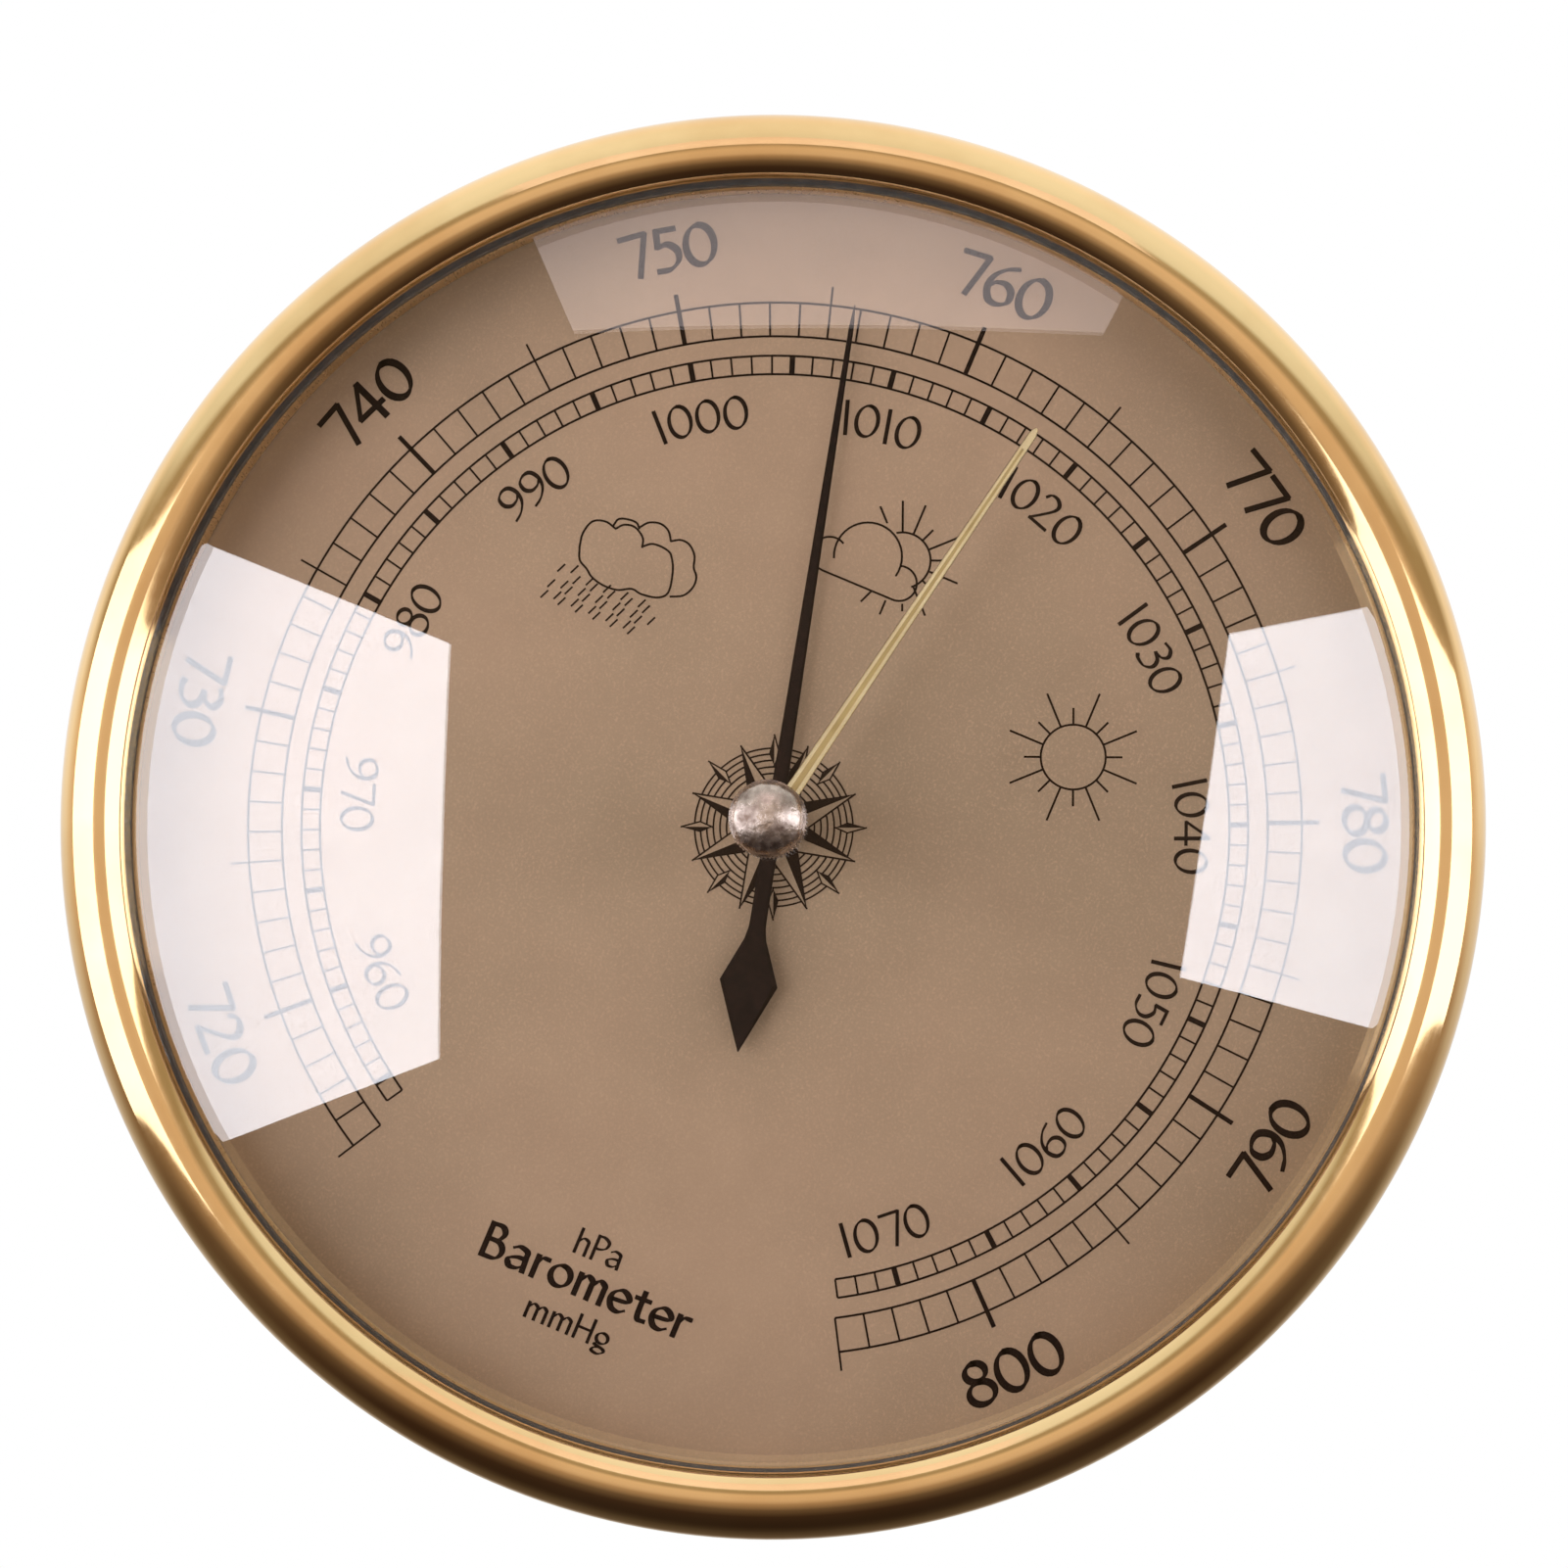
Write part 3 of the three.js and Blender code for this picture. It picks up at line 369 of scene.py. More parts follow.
INK_HEIGHT, INK_SINK = 0.035, 0.01
INK_STEP, INK_LAYERS = 0.0004, 9    # strokes that cross lie at slightly different heights


class Ink:
    """Flat closed strokes gathered into one mesh that lies on the dial."""

    def __init__(self, height=INK_HEIGHT):
        self.base, self.top = DIAL_FACE - INK_SINK, DIAL_FACE + height
        self.verts, self.faces = [], []
        self.count = 0

    def next_top(self):
        self.count += 1
        return self.top + INK_STEP * (self.count % INK_LAYERS)

    def slab(self, left, right, closed=False):
        """A band between two rows of points."""
        top = self.next_top()
        start = len(self.verts)
        n = len(left)
        for a, b in zip(left, right):
            self.verts += [(*a, top), (*b, top), (*a, self.base), (*b, self.base)]
        for i in range(n if closed else n - 1):
            p, q = start + 4 * i, start + 4 * ((i + 1) % n)
            self.faces += [(p, q, q + 1, p + 1), (p + 2, p + 3, q + 3, q + 2),
                           (p, p + 2, q + 2, q), (p + 1, q + 1, q + 3, p + 3)]
        if not closed:
            e = start + 4 * (n - 1)
            self.faces += [(start, start + 1, start + 3, start + 2),
                           (e, e + 2, e + 3, e + 1)]

    def ring(self, radius, width, start=0.0, end=360.0, steps=360):
        """A band on a circle about the dial's centre, from one dial angle to another."""
        closed = end - start >= 360
        angles = [math.radians(start + (end - start) * i / steps)
                  for i in range(steps if closed else steps + 1)]
        rows = [[(r * math.sin(a), r * math.cos(a)) for a in angles]
                for r in (radius - width / 2, radius + width / 2)]
        self.slab(*rows, closed=closed)

    def radial(self, angle, inner, outer, width):
        """A tick across the scale."""
        a = math.radians(angle)
        out, across = Vector((math.sin(a), math.cos(a))), Vector((math.cos(a), -math.sin(a)))
        ends = [out * inner, out * outer]
        self.slab([p - across * width / 2 for p in ends], [p + across * width / 2 for p in ends])

    def stroke(self, points, width):
        """A line through points. width is a number, or gives one for a direction."""
        points = [Vector(p) for p in points]
        left, right = [], []
        last = len(points) - 1
        for i, p in enumerate(points):
            run = (points[min(i + 1, last)] - points[max(i - 1, 0)]).normalized()
            half = (width(run) if callable(width) else width) / 2
            across = Vector((-run.y, run.x)) * half
            cap = run * (-half * 0.5 if i == 0 else half * 0.5 if i == last else 0)
            left.append(p + across + cap)
            right.append(p - across + cap)
        self.slab(left, right)

    def polygon(self, points):
        """A flat convex patch."""
        top = self.next_top()
        start, n = len(self.verts), len(points)
        self.verts += [(x, y, top) for x, y in points]
        self.verts += [(x, y, self.base) for x, y in points]
        self.faces.append(tuple(range(start, start + n)))
        self.faces.append(tuple(range(start + 2 * n - 1, start + n - 1, -1)))
        for i in range(n):
            j = (i + 1) % n
            self.faces.append((start + i, start + n + i, start + n + j, start + j))

    def finish(self, name, slot="dial_print"):
        build(name, self.verts, self.faces, slot, smooth=False)


# ---------------------------------------------------------------- lettering

CURVE_STEPS, OVAL_STEPS = 7, 26


def curve(*points):
    """A smooth run through points."""
    p = [Vector(q) for q in points]
    p = [2 * p[0] - p[1]] + p + [2 * p[-1] - p[-2]]
    run = []
    for a, b, c, d in zip(p, p[1:], p[2:], p[3:]):
        for i in range(CURVE_STEPS):
            t = i / CURVE_STEPS
            run.append(0.5 * (2 * b + (c - a) * t + (2 * a - 5 * b + 4 * c - d) * t ** 2
                              + (3 * b - a - 3 * c + d) * t ** 3))
    return run + [p[-2]]


def line(*points):
    return [Vector(q) for q in points]


def oval(cx, cy, a, b):
    """A closed loop whose ends overlap."""
    return [Vector((cx + a * math.sin(TAU * i / OVAL_STEPS),
                    cy + b * math.cos(TAU * i / OVAL_STEPS))) for i in range(OVAL_STEPS + 2)]


# Each letter's advance and pen strokes, for a capital one unit high.
GLYPHS = {
    "0": (0.68, [oval(0.31, 0.5, 0.26, 0.46)]),
    "1": (0.34, [line((0.10, 0.98), (0.18, 0.0))]),
    "2": (0.64, [curve((0.06, 0.82), (0.14, 0.96), (0.30, 0.98), (0.44, 0.86), (0.44, 0.68),
                       (0.30, 0.42), (0.06, 0.05)), line((0.05, 0.05), (0.56, 0.05))]),
    "3": (0.58, [curve((0.08, 0.93), (0.28, 0.98), (0.42, 0.84), (0.36, 0.65), (0.18, 0.56)),
                 curve((0.18, 0.56), (0.38, 0.50), (0.47, 0.30), (0.36, 0.08), (0.14, 0.02),
                       (0.04, 0.06))]),
    "4": (0.68, [line((0.42, 1.0), (0.04, 0.32)), line((0.04, 0.32), (0.60, 0.32)),
                 line((0.43, 1.0), (0.45, 0.0))]),
    "5": (0.58, [line((0.12, 0.96), (0.48, 0.96)), line((0.14, 0.97), (0.12, 0.58)),
                 curve((0.12, 0.58), (0.30, 0.62), (0.46, 0.46), (0.46, 0.22), (0.30, 0.04),
                       (0.06, 0.03))]),
    "6": (0.62, [curve((0.50, 0.98), (0.28, 0.86), (0.10, 0.62), (0.06, 0.32), (0.16, 0.07),
                       (0.34, 0.03), (0.50, 0.16), (0.50, 0.40), (0.36, 0.54), (0.18, 0.50),
                       (0.08, 0.38))]),
    "7": (0.58, [line((0.04, 0.95), (0.52, 0.97)), line((0.52, 0.97), (0.28, 0.0))]),
    "8": (0.60, [oval(0.27, 0.76, 0.19, 0.21), oval(0.27, 0.27, 0.24, 0.26)]),
    "9": (0.62, [curve((0.08, 0.02), (0.30, 0.14), (0.48, 0.38), (0.52, 0.68), (0.42, 0.93),
                       (0.24, 0.97), (0.08, 0.84), (0.08, 0.60), (0.22, 0.46), (0.40, 0.50),
                       (0.50, 0.62))]),
    "h": (0.56, [line((0.10, 1.0), (0.10, 0.0)),
                 curve((0.10, 0.45), (0.25, 0.64), (0.42, 0.58), (0.44, 0.40), (0.44, 0.0))]),
    "P": (0.58, [line((0.12, 1.0), (0.12, 0.0)),
                 curve((0.10, 0.97), (0.32, 0.98), (0.50, 0.84), (0.46, 0.60), (0.28, 0.48),
                       (0.10, 0.48))]),
    "a": (0.56, [curve((0.08, 0.56), (0.22, 0.65), (0.40, 0.58), (0.42, 0.40), (0.44, 0.0)),
                 curve((0.42, 0.36), (0.22, 0.34), (0.06, 0.22), (0.12, 0.04), (0.28, 0.04),
                       (0.42, 0.16))]),
    "B": (0.64, [line((0.12, 1.0), (0.12, 0.0)),
                 curve((0.10, 0.97), (0.34, 0.98), (0.44, 0.80), (0.34, 0.58), (0.10, 0.53)),
                 curve((0.10, 0.53), (0.40, 0.52), (0.52, 0.30), (0.42, 0.06), (0.10, 0.03))]),
    "r": (0.42, [line((0.10, 0.64), (0.10, 0.0)),
                 curve((0.10, 0.42), (0.20, 0.60), (0.36, 0.62))]),
    "o": (0.58, [oval(0.27, 0.33, 0.22, 0.30)]),
    "m": (0.80, [line((0.10, 0.64), (0.10, 0.0)),
                 curve((0.10, 0.42), (0.24, 0.63), (0.38, 0.55), (0.39, 0.40), (0.39, 0.0)),
                 curve((0.39, 0.42), (0.53, 0.63), (0.67, 0.55), (0.68, 0.40), (0.68, 0.0))]),
    "e": (0.54, [curve((0.10, 0.32), (0.46, 0.38), (0.42, 0.56), (0.26, 0.64), (0.10, 0.50),
                       (0.07, 0.28), (0.16, 0.07), (0.32, 0.02), (0.46, 0.12))]),
    "t": (0.44, [curve((0.20, 0.85), (0.20, 0.30), (0.24, 0.06), (0.40, 0.05)),
                 line((0.04, 0.62), (0.38, 0.64))]),
    "H": (0.70, [line((0.10, 1.0), (0.10, 0.0)), line((0.56, 1.0), (0.56, 0.0)),
                 line((0.10, 0.5), (0.56, 0.5))]),
    "g": (0.54, [oval(0.24, 0.40, 0.18, 0.22),
                 curve((0.14, 0.18), (0.08, 0.08), (0.36, 0.0), (0.42, -0.12), (0.26, -0.26),
                       (0.06, -0.20), (0.10, -0.06), (0.20, 0.0))]),
}
NIB = math.radians(35)              # the angle at which the pen draws its thinnest line
LETTER_GAP = 0.1


def write(ink, text, height, place, thick, thin, width=None, stretch=1.0):
    """Sets a word. place(offset) gives the origin, right and up of a letter whose middle is
    that far from the word's. width, where given, is the whole word's and sets the stretch."""
    natural = sum(GLYPHS[c][0] for c in text) - LETTER_GAP
    if width:
        stretch = width / height / natural
    pen = -natural / 2
    for letter in text:
        advance, strokes = GLYPHS[letter]
        middle = (pen + advance / 2) * stretch * height
        origin, right, up = place(middle)

        def nib(run):
            local = Vector((run.dot(right), run.dot(up)))
            return height * (thin + (thick - thin)
                             * abs(math.sin(math.atan2(local.y, local.x) - NIB)))

        for points in strokes:
            ink.stroke([origin + right * ((p.x - advance / 2) * stretch * height)
                        + up * (p.y * height) for p in points], nib)
        pen += advance


def round_label(ink, text, angle, radius, height, thick, thin, stretch, flipped):
    """A number bent round the scale, its top outwards or, flipped, inwards."""
    sense = -1 if flipped else 1

    def place(offset):
        a = math.radians(angle) + sense * offset / radius
        out = Vector((math.sin(a), math.cos(a)))
        along = Vector((math.cos(a), -math.sin(a)))
        return out * (radius - sense * height / 2), along * sense, out * sense

    write(ink, text, height, place, thick, thin, stretch=stretch)


# ---------------------------------------------------------------- scales

MMHG_TOP, HPA_TOP = 760, 1013.25    # the readings at the top of the dial
MMHG_STEP, HPA_STEP = 300 / 90, 2.5  # degrees of dial for each unit
MMHG_LOW, MMHG_HIGH, HPA_LOW, HPA_HIGH = 715, 805, 954, 1073
MMHG_OUTER, MMHG_INNER, MMHG_FIVE, MMHG_TEN = 47.93, 44.84, 49.64, 49.5
HPA_OUTER, HPA_INNER = 43.06, 41.37
ARC_LINE, THIN_TICK, BOLD_TICK, HPA_BOLD = 0.2, 0.18, 0.42, 0.5
ARC_STEPS = 300


def mmhg_angle(value):
    return (value - MMHG_TOP) * MMHG_STEP


def hpa_angle(value):
    return (value - HPA_TOP) * HPA_STEP


ink = Ink()
for radius in (MMHG_OUTER, MMHG_INNER):
    ink.ring(radius, ARC_LINE, mmhg_angle(MMHG_LOW), mmhg_angle(MMHG_HIGH), ARC_STEPS)
for value in range(MMHG_LOW, MMHG_HIGH + 1):
    angle = mmhg_angle(value)
    if value % 10 == 0:
        ink.radial(angle, MMHG_INNER, MMHG_TEN, BOLD_TICK)
    else:
        ink.radial(angle, MMHG_INNER, MMHG_FIVE if value % 5 == 0 else MMHG_OUTER, THIN_TICK)
ink.finish("scale_mmhg")

ink = Ink()
for radius in (HPA_OUTER, HPA_INNER):
    ink.ring(radius, ARC_LINE, hpa_angle(HPA_LOW), hpa_angle(HPA_HIGH), ARC_STEPS)
for value in range(HPA_LOW, HPA_HIGH + 1):
    ink.radial(hpa_angle(value), HPA_INNER, HPA_OUTER,
               HPA_BOLD if value % 5 == 0 else THIN_TICK)
ink.finish("scale_hpa")

ink = Ink()
for value in range(720, 801, 10):
    round_label(ink, str(value), mmhg_angle(value), radius=53.7, height=3.95, thick=0.18,
                thin=0.075, stretch=1.27, flipped=value < 740 or value > 780)
ink.finish("numbers_mmhg")

ink = Ink()
for value in range(960, 1071, 10):
    round_label(ink, str(value), hpa_angle(value), radius=38.0, height=3.1, thick=0.13,
                thin=0.055, stretch=1.22, flipped=value < 980 or value > 1050)
ink.finish("numbers_hpa")


def straight(x, y):
    """Places a word on a level line centred at (x, y)."""
    return lambda offset: (Vector((x + offset, y)), Vector((1, 0)), Vector((0, 1)))


ink = Ink()
write(ink, "hPa", 2.3, straight(0.25, -42.55), thick=0.15, thin=0.06, width=4.5)
write(ink, "Barometer", 3.17, straight(0.23, -46.08), thick=0.19, thin=0.07, width=20.3)
write(ink, "mmHg", 2.2, straight(0.2, -49.66), thick=0.16, thin=0.06, width=8.2)
ink.finish("words")


# ---------------------------------------------------------------- weather signs

SIGN_LINE, DROP_LINE = 0.19, 0.17
SUN = (22.6, 16.44)
CLOUD_SUN = (1.34, 26.95)
CLOUD_LEFT, CLOUD_RIGHT, CLOUD_END = (-5.0, 24.9), (1.88, 24.9), 1.6
SUN_RAY = 22.5                      # degrees between one ray and the next


def arc(cx, cy, r, start, end, steps=26):
    """Points on a circle, angles anticlockwise from the right."""
    return [Vector((cx + r * math.cos(math.radians(start + (end - start) * i / steps)),
                    cy + r * math.sin(math.radians(start + (end - start) * i / steps))))
            for i in range(steps + 1)]


def rays(ink, centre, start, short, long, numbers):
    """A sun's rays, numbered anticlockwise from the right. The even ones are long."""
    centre = Vector(centre)
    for i in numbers:
        turn = math.radians(SUN_RAY * i)
        d = Vector((math.cos(turn), math.sin(turn)))
        ink.stroke([centre + d * start, centre + d * (long if i % 2 == 0 else short)], SIGN_LINE)


ink = Ink()
ink.stroke(arc(*SUN, 2.95, 0, 360, 60), SIGN_LINE)
rays(ink, SUN, 3.0, 4.43, 6.2, range(16))
ink.finish("sign_sun")

ink = Ink()
ink.stroke(arc(-1.7, 26.07, 3.1, 205, -12), SIGN_LINE)
ink.stroke(arc(*CLOUD_SUN, 2.56, 124, -48), SIGN_LINE)
rays(ink, CLOUD_SUN, 2.6, 3.9, 5.4, range(-2, 5))
rays(ink, CLOUD_SUN, 2.6, 5.4, 5.4, [5])
rays(ink, CLOUD_SUN, 3.7, 4.6, 5.3, [6])
ink.stroke(arc(*CLOUD_RIGHT, CLOUD_END, 108, -90), SIGN_LINE)
ink.stroke(arc(*CLOUD_LEFT, CLOUD_END, 270, 62), SIGN_LINE)
ink.stroke([Vector((x, y - CLOUD_END)) for x, y in (CLOUD_LEFT, CLOUD_RIGHT)], SIGN_LINE)
rays(ink, CLOUD_SUN, 4.0, 4.6, 5.3, [-4, -3])
rays(ink, CLOUD_SUN, 4.0, 5.3, 5.3, [-5])
ink.finish("sign_cloudy")

ink = Ink()
ink.stroke(curve((-26.3, 16.7), (-26.5, 18.0), (-26.1, 19.3), (-25.0, 19.75), (-23.9, 19.5)),
           SIGN_LINE)
ink.stroke(curve((-23.9, 19.5), (-23.3, 20.15), (-22.3, 20.3), (-21.3, 19.7), (-21.0, 18.85)),
           SIGN_LINE)
ink.stroke(curve((-21.0, 18.95), (-20.3, 19.5), (-19.4, 19.6), (-18.6, 19.45), (-18.2, 19.1),
                 (-17.6, 18.0), (-17.2, 16.05), (-17.9, 15.2), (-19.4, 14.9), (-20.4, 15.0),
                 (-21.6, 14.4), (-23.0, 14.3), (-24.2, 14.6), (-24.9, 15.1), (-25.8, 15.6),
                 (-26.3, 16.7)), SIGN_LINE)
ink.stroke(curve((-24.2, 19.7), (-24.0, 20.4), (-23.3, 20.7), (-22.4, 20.75), (-21.9, 20.35)),
           SIGN_LINE)
ink.stroke(curve((-21.9, 20.5), (-21.3, 21.2), (-20.3, 21.5), (-19.4, 21.2), (-18.8, 20.4)),
           SIGN_LINE)
ink.stroke(curve((-18.8, 20.4), (-18.0, 20.85), (-17.1, 20.75), (-16.3, 20.0), (-15.95, 19.0),
                 (-15.4, 18.3), (-15.3, 17.35), (-15.8, 16.3), (-16.9, 15.7)), SIGN_LINE)
RAIN_ROWS = [(14.2, -26.9, 11), (13.05, -27.2, 12), (11.9, -27.4, 11)]  # top, left, drops
DROP_GAP, DROP_SLANT, DROP_LENGTH = 0.86, 0.36, 0.82
for row, (top, left, count) in enumerate(RAIN_ROWS):
    for i in range(count):
        x = left + DROP_GAP * i + 0.3 * (i % 2)
        lift = 0.35 * (i % 2) + (0.5 if row == 0 and i in (0, 1) else 0)
        ink.stroke(line((x, top + lift), (x - DROP_SLANT, top + lift - DROP_LENGTH)), DROP_LINE)
ink.finish("sign_rain")


# ---------------------------------------------------------------- compass rose

def dial_point(angle, r):
    return Vector((r * math.sin(math.radians(angle)), r * math.cos(math.radians(angle))))


ROSE_RINGS, ROSE_RING_LINE = (3.7, 4.3, 4.9, 5.5, 6.1, 6.67, 7.2), 0.16
ROSE_TIP, ROSE_SIDE, ROSE_SIDE_ANGLE, ROSE_LINE = 8.0, 3.0, 25.0, 0.17
LOZENGE_TIP, LOZENGE_WAIST, LOZENGE_FOOT = 8.45, 6.7, 5.6
LOZENGE_HALF, LOZENGE_LINE = 0.48, 0.15
LIGHT_FACET, DARK_FACET = 0.045, 0.052  # heights that lay the facets over the rings

ink = Ink()
for radius in ROSE_RINGS:
    ink.ring(radius, ROSE_RING_LINE, steps=120)
ink.finish("rose_rings")

light, dark = Ink(LIGHT_FACET), Ink(DARK_FACET)
for k in range(8):                  # the small lozenges between the points
    a = 22.5 + 45 * k
    tip, foot, waist = (dial_point(a, r) for r in (LOZENGE_TIP, LOZENGE_FOOT, LOZENGE_WAIST))
    half = dial_point(a + 90, LOZENGE_HALF)
    light.polygon([foot, waist + half, tip])
    dark.polygon([foot, tip, waist - half])
    dark.stroke([foot, waist + half, tip], LOZENGE_LINE)
for k in range(8):                  # the eight points
    a = 45 * k
    centre, tip = Vector((0, 0)), dial_point(a, ROSE_TIP)
    before, after = (dial_point(a + s * ROSE_SIDE_ANGLE, ROSE_SIDE) for s in (-1, 1))
    light.polygon([centre, after, tip])
    dark.polygon([centre, tip, before])
    dark.stroke([centre, after, tip], ROSE_LINE)
light.finish("rose_light_facets", "dial_champagne")
dark.finish("rose_dark_facets")


# ---------------------------------------------------------------- bezel, glass and dial

# The bezel's section: over the roll from the lip outwards, down the skirt and up its inside.
BEZEL = (flattened(60.3, 33.5, 2.85, 2.8, 149, 90, 26, 2.15)
         + flattened(60.3, 31.3, 3.7, 5, 90, 0, 34, 2.2)[1:]
         + [(64.0, 26.6), (63.9, 26.5), (62.7, 26.5), (62.6, 26.6)]
         + ellipse(60.3, 31.3, 2.3, 3.6, 0, 90, 14)
         + [(59.2, 34.4), (59.2, 33.5), (58.4, 33.7)])
build("bezel_ring", *lathe(BEZEL), "bezel_brass", replaces=["bezel"])

SPHERE = 348.2                      # radius of the glass's curve
LENS_RADIUS, LENS_EDGE, LENS_HOLE = 58.8, 58.65, 1.6


def dome(edge_z, start, end, steps=30):
    """Points on the glass's curve, between two distances from its axis."""
    apex = edge_z + SPHERE - math.sqrt(SPHERE ** 2 - LENS_RADIUS ** 2)
    return [(r, apex - (SPHERE - math.sqrt(SPHERE ** 2 - r ** 2)))
            for r in (start + (end - start) * i / steps for i in range(steps + 1))]


LENS = (dome(33.2, LENS_HOLE, LENS_EDGE) + [(LENS_RADIUS, 33.1), (LENS_RADIUS, 31.3)]
        + dome(31.2, LENS_EDGE, LENS_HOLE))
GASKET = [(57.75, 30.0), (57.85, 29.8), (60.2, 29.8), (60.3, 29.9), (60.3, 30.8), (60.2, 30.9),
          (57.9, 30.9), (57.75, 30.75)]
SPACER = [(57.9, 24.3), (59.1, 24.3), (59.1, 29.5), (57.9, 29.5)]
DIAL = [(2.0, 23.2), (59.0, 23.2), (59.0, 23.9), (58.9, DIAL_FACE), (2.1, DIAL_FACE), (2.0, 23.9)]
build("glass_dome", *lathe(LENS), "lens_glass", replaces=["glass_lens"])
build("gasket_ring", *lathe(GASKET), "gasket_rubber", replaces=["lens_gasket"])
build("spacer_ring", *lathe(SPACER), "movement_brass", replaces=["dial_spacer_ring"])
build("dial_disc", *lathe(DIAL), "dial_champagne", replaces=["dial_plate"])


# ---------------------------------------------------------------- hands

HUB_STEP, HUB_BEVEL = 0.1, 0.25


def turned(points, angle):
    """Points turned clockwise about the dial's axis."""
    a = math.radians(angle)
    return [(x * math.cos(a) + y * math.sin(a), -x * math.sin(a) + y * math.cos(a))
            for x, y in points]


def ridge_hand(name, stations, hub, low, high, rim, angle, slot, node):
    """A hand along +y with its edges lowered to rim, and a hub disc at its root. It replaces
    the node that its body is named after. hub is the disc's inner and outer radius."""
    verts, faces = [], []
    for y, half, inner in stations:
        verts += [(-half, y, low), (-half, y, rim), (-inner, y, high), (0, y, high),
                  (inner, y, high), (half, y, rim), (half, y, low)]
    width = len(verts) // len(stations)
    for i in range(len(stations) - 1):
        for k in range(width):
            m = (k + 1) % width
            faces.append((i * width + k, (i + 1) * width + k, (i + 1) * width + m, i * width + m))
    faces.append(tuple(range(width)))
    faces.append(tuple(reversed(range((len(stations) - 1) * width, len(stations) * width))))
    flat = turned([(v[0], v[1]) for v in verts], angle)
    verts = [(*p, v[2]) for p, v in zip(flat, verts)]
    inner, outer = hub
    hub_verts, hub_faces = lathe([(inner, low), (outer, low), (outer, rim + HUB_STEP),
                                  (outer - HUB_BEVEL, high), (inner, high)], MEDIUM)
    start = len(verts)
    verts += hub_verts
    faces += [tuple(start + i for i in f) for f in hub_faces]
    build(name, verts, faces, slot, node, sharp=20, replaces=[node])


# Stations along each hand: distance from the axis, half width, and half width of the flat top.
BLACK_STATIONS = [(-20.65, 0.05, 0.02), (-14.4, 2.65, 2.2), (-10.4, 1.0, 0.75),
                  (-9.3, 0.78, 0.55), (-8.4, 0.75, 0.5), (0.0, 0.75, 0.5), (12.0, 0.6, 0.4),
                  (30.0, 0.4, 0.24), (46.0, 0.22, 0.12), (48.0, 0.05, 0.02)]
ridge_hand("black_hand", BLACK_STATIONS, (1.35, 2.4), low=25.8, high=26.2, rim=26.02,
           angle=-14.0, slot="hand_black", node="pressure_hand")

HAND_ANGLE = 11.1
GOLD_STATIONS = [(1.5, 0.74, 0.68), (6, 0.66, 0.6), (20, 0.52, 0.46), (34, 0.44, 0.38),
                 (42.0, 0.38, 0.32), (42.5, 0.26, 0.2), (42.7, 0.1, 0.06)]
ridge_hand("gold_hand", GOLD_STATIONS, (1.35, 2.0), low=32.5, high=33.1, rim=33.04,
           angle=HAND_ANGLE, slot="set_hand_gold", node="set_hand")

# The gold hand's face carries a stripe of darker gold between two bright edges: painted shade
# standing in for the darker middle of the hand's face.
STRIPE_LOW, STRIPE_TOP = 32.9, 33.12
STRIPE_STATIONS = [(3.2, 0.28), (20, 0.18), (40.5, 0.11)]
outline = ([(-half, y) for y, half in STRIPE_STATIONS]
           + [(half, y) for y, half in reversed(STRIPE_STATIONS)])
stripe = build("gold_hand_painted_shade_stripe", *prism(turned(outline, HAND_ANGLE), STRIPE_LOW, STRIPE_TOP),
               "set_hand_gold", "set_hand")
# A darker copy of the gold material: painted shade, not a finish the hand has.
stripe.data.materials[0] = metal("set_hand_painted_shade", (0.34, 0.25, 0.11), (0.26, 0.18, 0.08), 0.4,
                                 grain=0.1)


# ---------------------------------------------------------------- knob

KNURLS, KNURL_STEPS, KNURL_DEPTH = 60, 4, 0.08
KNURLED = (2, 3)                    # the profile's points that carry the knurls
KNOB_BORE = [(1.45, 42.7), (1.45, 39.3)]
KNOB_SIDE = [(3.2, 39.3), (3.42, 39.5), (3.42, 43.2), (3.3, 43.5)]
KNOB_DOME = ellipse(0, 43.6, 3.3, 1.7, 10, 80, 7) + [(0.05, 45.3)]


def knurl(k, i):
    if k not in KNURLED:
        return 0.0
    return KNURL_DEPTH * (1 if i % KNURL_STEPS in (0, 1) else -1)


build("knob", *capped_lathe(KNOB_BORE + KNOB_SIDE + KNOB_DOME, KNURLS * KNURL_STEPS, knurl),
      "knob_nickel", "set_hand", sharp=40, replaces=["set_knob"])


# ---------------------------------------------------------------- case

# The case's section, up the outside from the back's edge and down the inside.
CASE_CUP = [(56.5, 0.0), (57.8, 0.25), (58.5, 1.0), (58.7, 2.0), (58.7, 20.3),
            (58.9, 20.9), (60.2, 21.9), (60.5, 22.5), (60.5, 26.8), (60.8, 27.15),
            (62.2, 27.2), (62.3, 27.35), (62.3, 28.25), (62.2, 28.4), (59.5, 28.4),
            (59.35, 28.2), (59.35, 23.0), (59.2, 22.9), (57.6, 22.9), (57.5, 22.7),
            (57.5, 2.6), (57.0, 1.8), (56.3, 1.6)]


def subtract(piece, solids):
    """Cuts each solid, given as verts and faces, from the piece's mesh."""
    cutters = [mesh_object("cutter", *solid) for solid in solids]
    for cutter in cutters:
        step = piece.modifiers.new("cut", "BOOLEAN")
        step.operation, step.solver, step.object = "DIFFERENCE", "EXACT", cutter
    bpy.context.view_layer.update()
    result = bpy.data.meshes.new_from_object(
        piece.evaluated_get(bpy.context.evaluated_depsgraph_get()))
    piece.modifiers.clear()
    piece.data = result
    for cutter in cutters:
        bpy.data.objects.remove(cutter)


def circle(cx, cy, r, n):
    return [(cx + r * math.cos(TAU * i / n), cy + r * math.sin(TAU * i / n)) for i in range(n)]


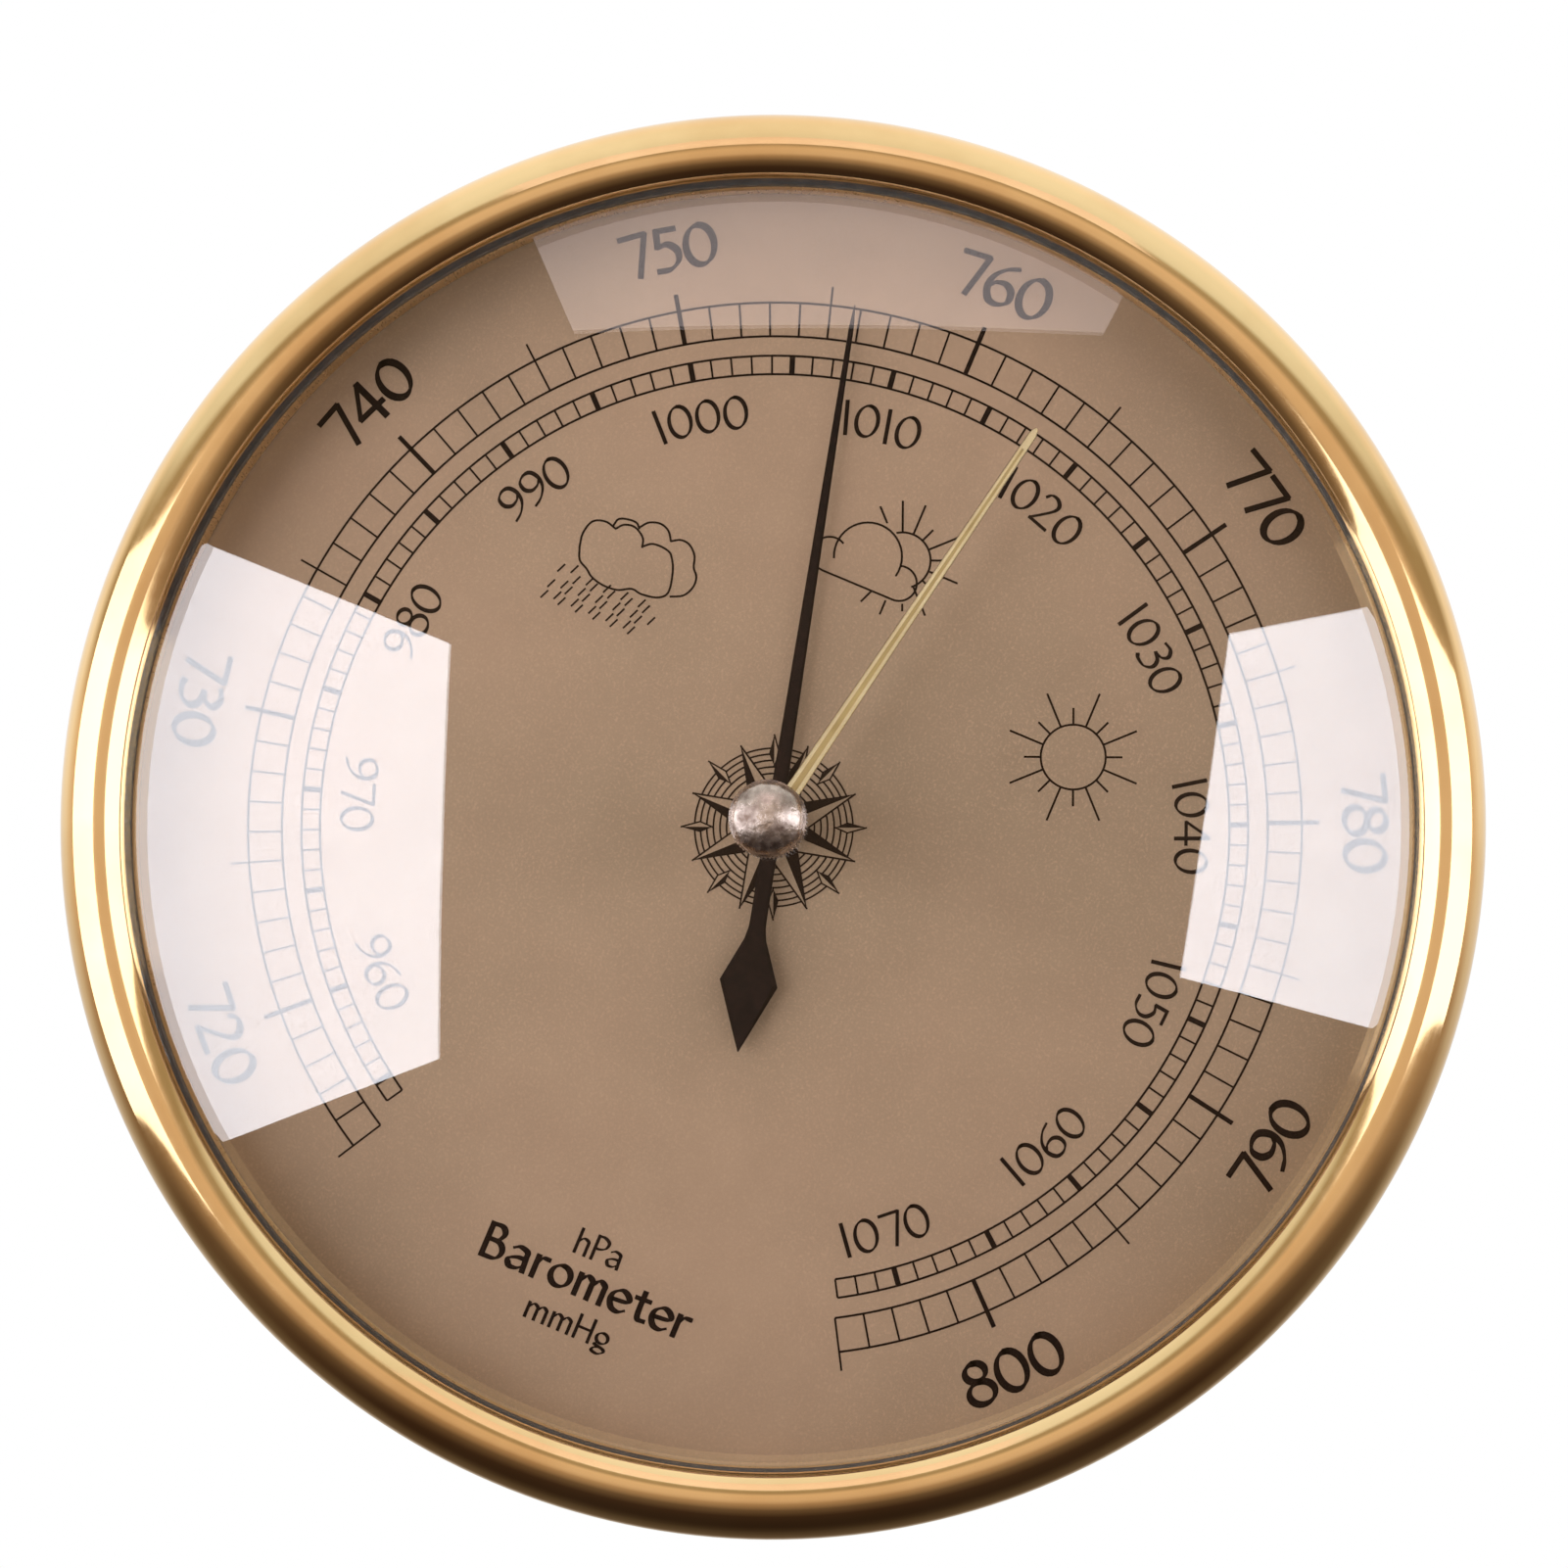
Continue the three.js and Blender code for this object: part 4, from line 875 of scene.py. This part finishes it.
# The hanger: a slot with a round top, whose sides run down into a larger round head.
SLOT_RADIUS, SLOT_TOP = 2.1, 52.5
HEAD_RADIUS, HEAD_Y = 4.5, 45
SLOT_FOOT = math.asin(SLOT_RADIUS / HEAD_RADIUS)
HEAD_TURN = TAU - 2 * SLOT_FOOT
KEYHOLE = [(-SLOT_RADIUS, SLOT_TOP)]
KEYHOLE += [(SLOT_RADIUS * math.cos(math.radians(a)),
             SLOT_TOP + SLOT_RADIUS * math.sin(math.radians(a))) for a in range(170, -1, -10)]
KEYHOLE += [(HEAD_RADIUS * math.sin(SLOT_FOOT + HEAD_TURN * i / COARSE),
             HEAD_Y + HEAD_RADIUS * math.cos(SLOT_FOOT + HEAD_TURN * i / COARSE))
            for i in range(COARSE + 1)]

CUT_LOW, CUT_HIGH = -1, 2.2         # the cutters stand out on both sides of the case's back
ADJUSTER_HOLE = circle(-35.3, -9, 3.5, 64)
SCREW_CIRCLE, SCREW_ANGLES = 31, (90, 210, 330)
SCREW_HOLE = [(3.3, CUT_LOW), (3.3, 0.0), (1.6, 1.5), (1.6, CUT_HIGH)]

cup = build("case_shell", *capped_lathe(CASE_CUP), "case_brass", replaces=["case_cup"])
holes = [prism(KEYHOLE, CUT_LOW, CUT_HIGH), prism(ADJUSTER_HOLE, CUT_LOW, CUT_HIGH)]
for angle in map(math.radians, SCREW_ANGLES):
    centre = (SCREW_CIRCLE * math.cos(angle), SCREW_CIRCLE * math.sin(angle))
    holes.append(capped_lathe(SCREW_HOLE, COARSE, centre=centre))
subtract(cup, holes)
soften(cup.data)


# ---------------------------------------------------------------- carried-over nodes

NODE_SLOTS = {part["node"]: part["material_slot"] for part in frame["record"]["subparts"]}
for name, node in frame["nodes"].items():
    node.data.materials.clear()
    node.data.materials.append(MATERIALS[NODE_SLOTS[name]])


# ---------------------------------------------------------------- floor and light

FLOOR_DROP, FLOOR_RADIUS = 200, 800
floor_mesh = bpy.data.meshes.new("floor")
floor_mesh.from_pydata([at(x, -FLOOR_DROP, -y) for x, y in circle(0, 0, FLOOR_RADIUS, MEDIUM)],
                       [], [tuple(range(MEDIUM))])
floor = bpy.data.objects.new("floor", floor_mesh)
scene.collection.objects.link(floor)
floor_mesh.materials.append(plain("floor_pale", (0.80, 0.79, 0.77), (0.76, 0.75, 0.73), 0.6, 12,
                                  0.05))
floor.visible_glossy = False


def soft_panel(name, corners, radiance, satin, mirrored, tint):
    """A glowing sheet of diffuser, from corners in the rolled view. No camera sees it.
    satin and mirrored are how bright it looks in polished metal and in the glass."""
    mesh = bpy.data.meshes.new(name)
    mesh.from_pydata([seen(*c) for c in corners], [], [(0, 1, 2, 3)])
    material, nodes = new_material(name)
    t = Tree(nodes)
    path = t.node("ShaderNodeLightPath").outputs
    strength = t.math("MULTIPLY_ADD", path["Is Glossy Ray"], satin - radiance, radiance)
    strength = t.math("MULTIPLY_ADD", path["Is Singular Ray"], mirrored - satin, strength)
    glow = t.node("ShaderNodeEmission", {"Color": (*tint, 1), "Strength": strength})
    t.node("ShaderNodeOutputMaterial", {"Surface": glow.outputs[0]})
    mesh.materials.append(material)
    panel = bpy.data.objects.new(name, mesh)
    scene.collection.objects.link(panel)
    panel.visible_camera = False


SIDE_SATIN, SIDE_MIRRORED, SIDE_TINT = 2.6, 4.8, (0.89, 0.91, 0.98)
soft_panel("left_panel", [(-245, 159, 900), (-407, 181, 60), (-353, -145, 60), (-252, -123, 900)],
           radiance=14, satin=SIDE_SATIN, mirrored=SIDE_MIRRORED, tint=SIDE_TINT)
soft_panel("right_panel", [(287, 167, 900), (367, 94, 60), (475, -129, 60), (250, -68, 900)],
           radiance=8, satin=SIDE_SATIN, mirrored=SIDE_MIRRORED, tint=SIDE_TINT)
soft_panel("top_panel", [(-132, 305, 700), (165, 305, 700), (165, 305, 300), (-132, 305, 300)],
           radiance=7, satin=1.0, mirrored=1.12, tint=(1, 0.88, 0.87))

world = bpy.data.worlds.new("studio")
scene.world = world
world.use_nodes = True
world.node_tree.nodes.clear()
w = Tree(world.node_tree)
direction = w.node("ShaderNodeTexCoord").outputs["Generated"]
height = w.node("ShaderNodeVectorMath", {0: direction, 1: tuple(picture_up)},
                operation="DOT_PRODUCT").outputs["Value"]
depth = w.node("ShaderNodeSeparateXYZ", {"Vector": direction}).outputs[1]


def sky_ramp(stops):
    """The studio's brightness from straight down (0) to straight up (1)."""
    made = w.node("ShaderNodeValToRGB", {"Fac": w.spread(height, 0, 1, -1, 1)})
    ramp = made.color_ramp
    while len(ramp.elements) < len(stops):
        ramp.elements.new(0.5)
    for element, (position, colour) in zip(ramp.elements, stops):
        element.position = position
        element.color = (*colour, 1)
    return made.outputs[0]


# The room before the dial, and the room behind it.
before = sky_ramp([
    (0.0, (0.03, 0.02, 0.015)), (0.1, (0.045, 0.028, 0.02)), (0.25, (0.14, 0.10, 0.07)),
    (0.4, (0.42, 0.31, 0.22)), (0.47, (0.70, 0.56, 0.44)), (0.59, (0.76, 0.61, 0.47)),
    (0.66, (0.40, 0.33, 0.23)), (0.71, (0.40, 0.34, 0.23)), (0.78, (0.82, 0.86, 0.83)),
    (1.0, (1.02, 1.05, 1.03))])
behind = sky_ramp([
    (0.0, (0.04, 0.03, 0.022)), (0.25, (0.14, 0.11, 0.08)), (0.42, (0.62, 0.58, 0.53)),
    (0.55, (0.95, 0.93, 0.90)), (1.0, (1.1, 1.07, 1.0))])
surround = w.blend(w.spread(depth, 0, 1, 0.05, 0.5), before, behind)
path = w.node("ShaderNodeLightPath").outputs
# The glass mirrors the room dimly, and the camera sees white behind the object.
share = w.blend(path["Is Singular Ray"], (1.0, 1.0, 1.0), (0.13, 0.10, 0.07))
shared = w.node("ShaderNodeVectorMath", {0: surround, 1: share}, operation="MULTIPLY").outputs[0]
sky = w.blend(path["Is Camera Ray"], shared, (1.0, 1.0, 1.0))
background = w.node("ShaderNodeBackground", {"Color": sky, "Strength": 1.0})
w.node("ShaderNodeOutputWorld", {"Surface": background.outputs[0]})
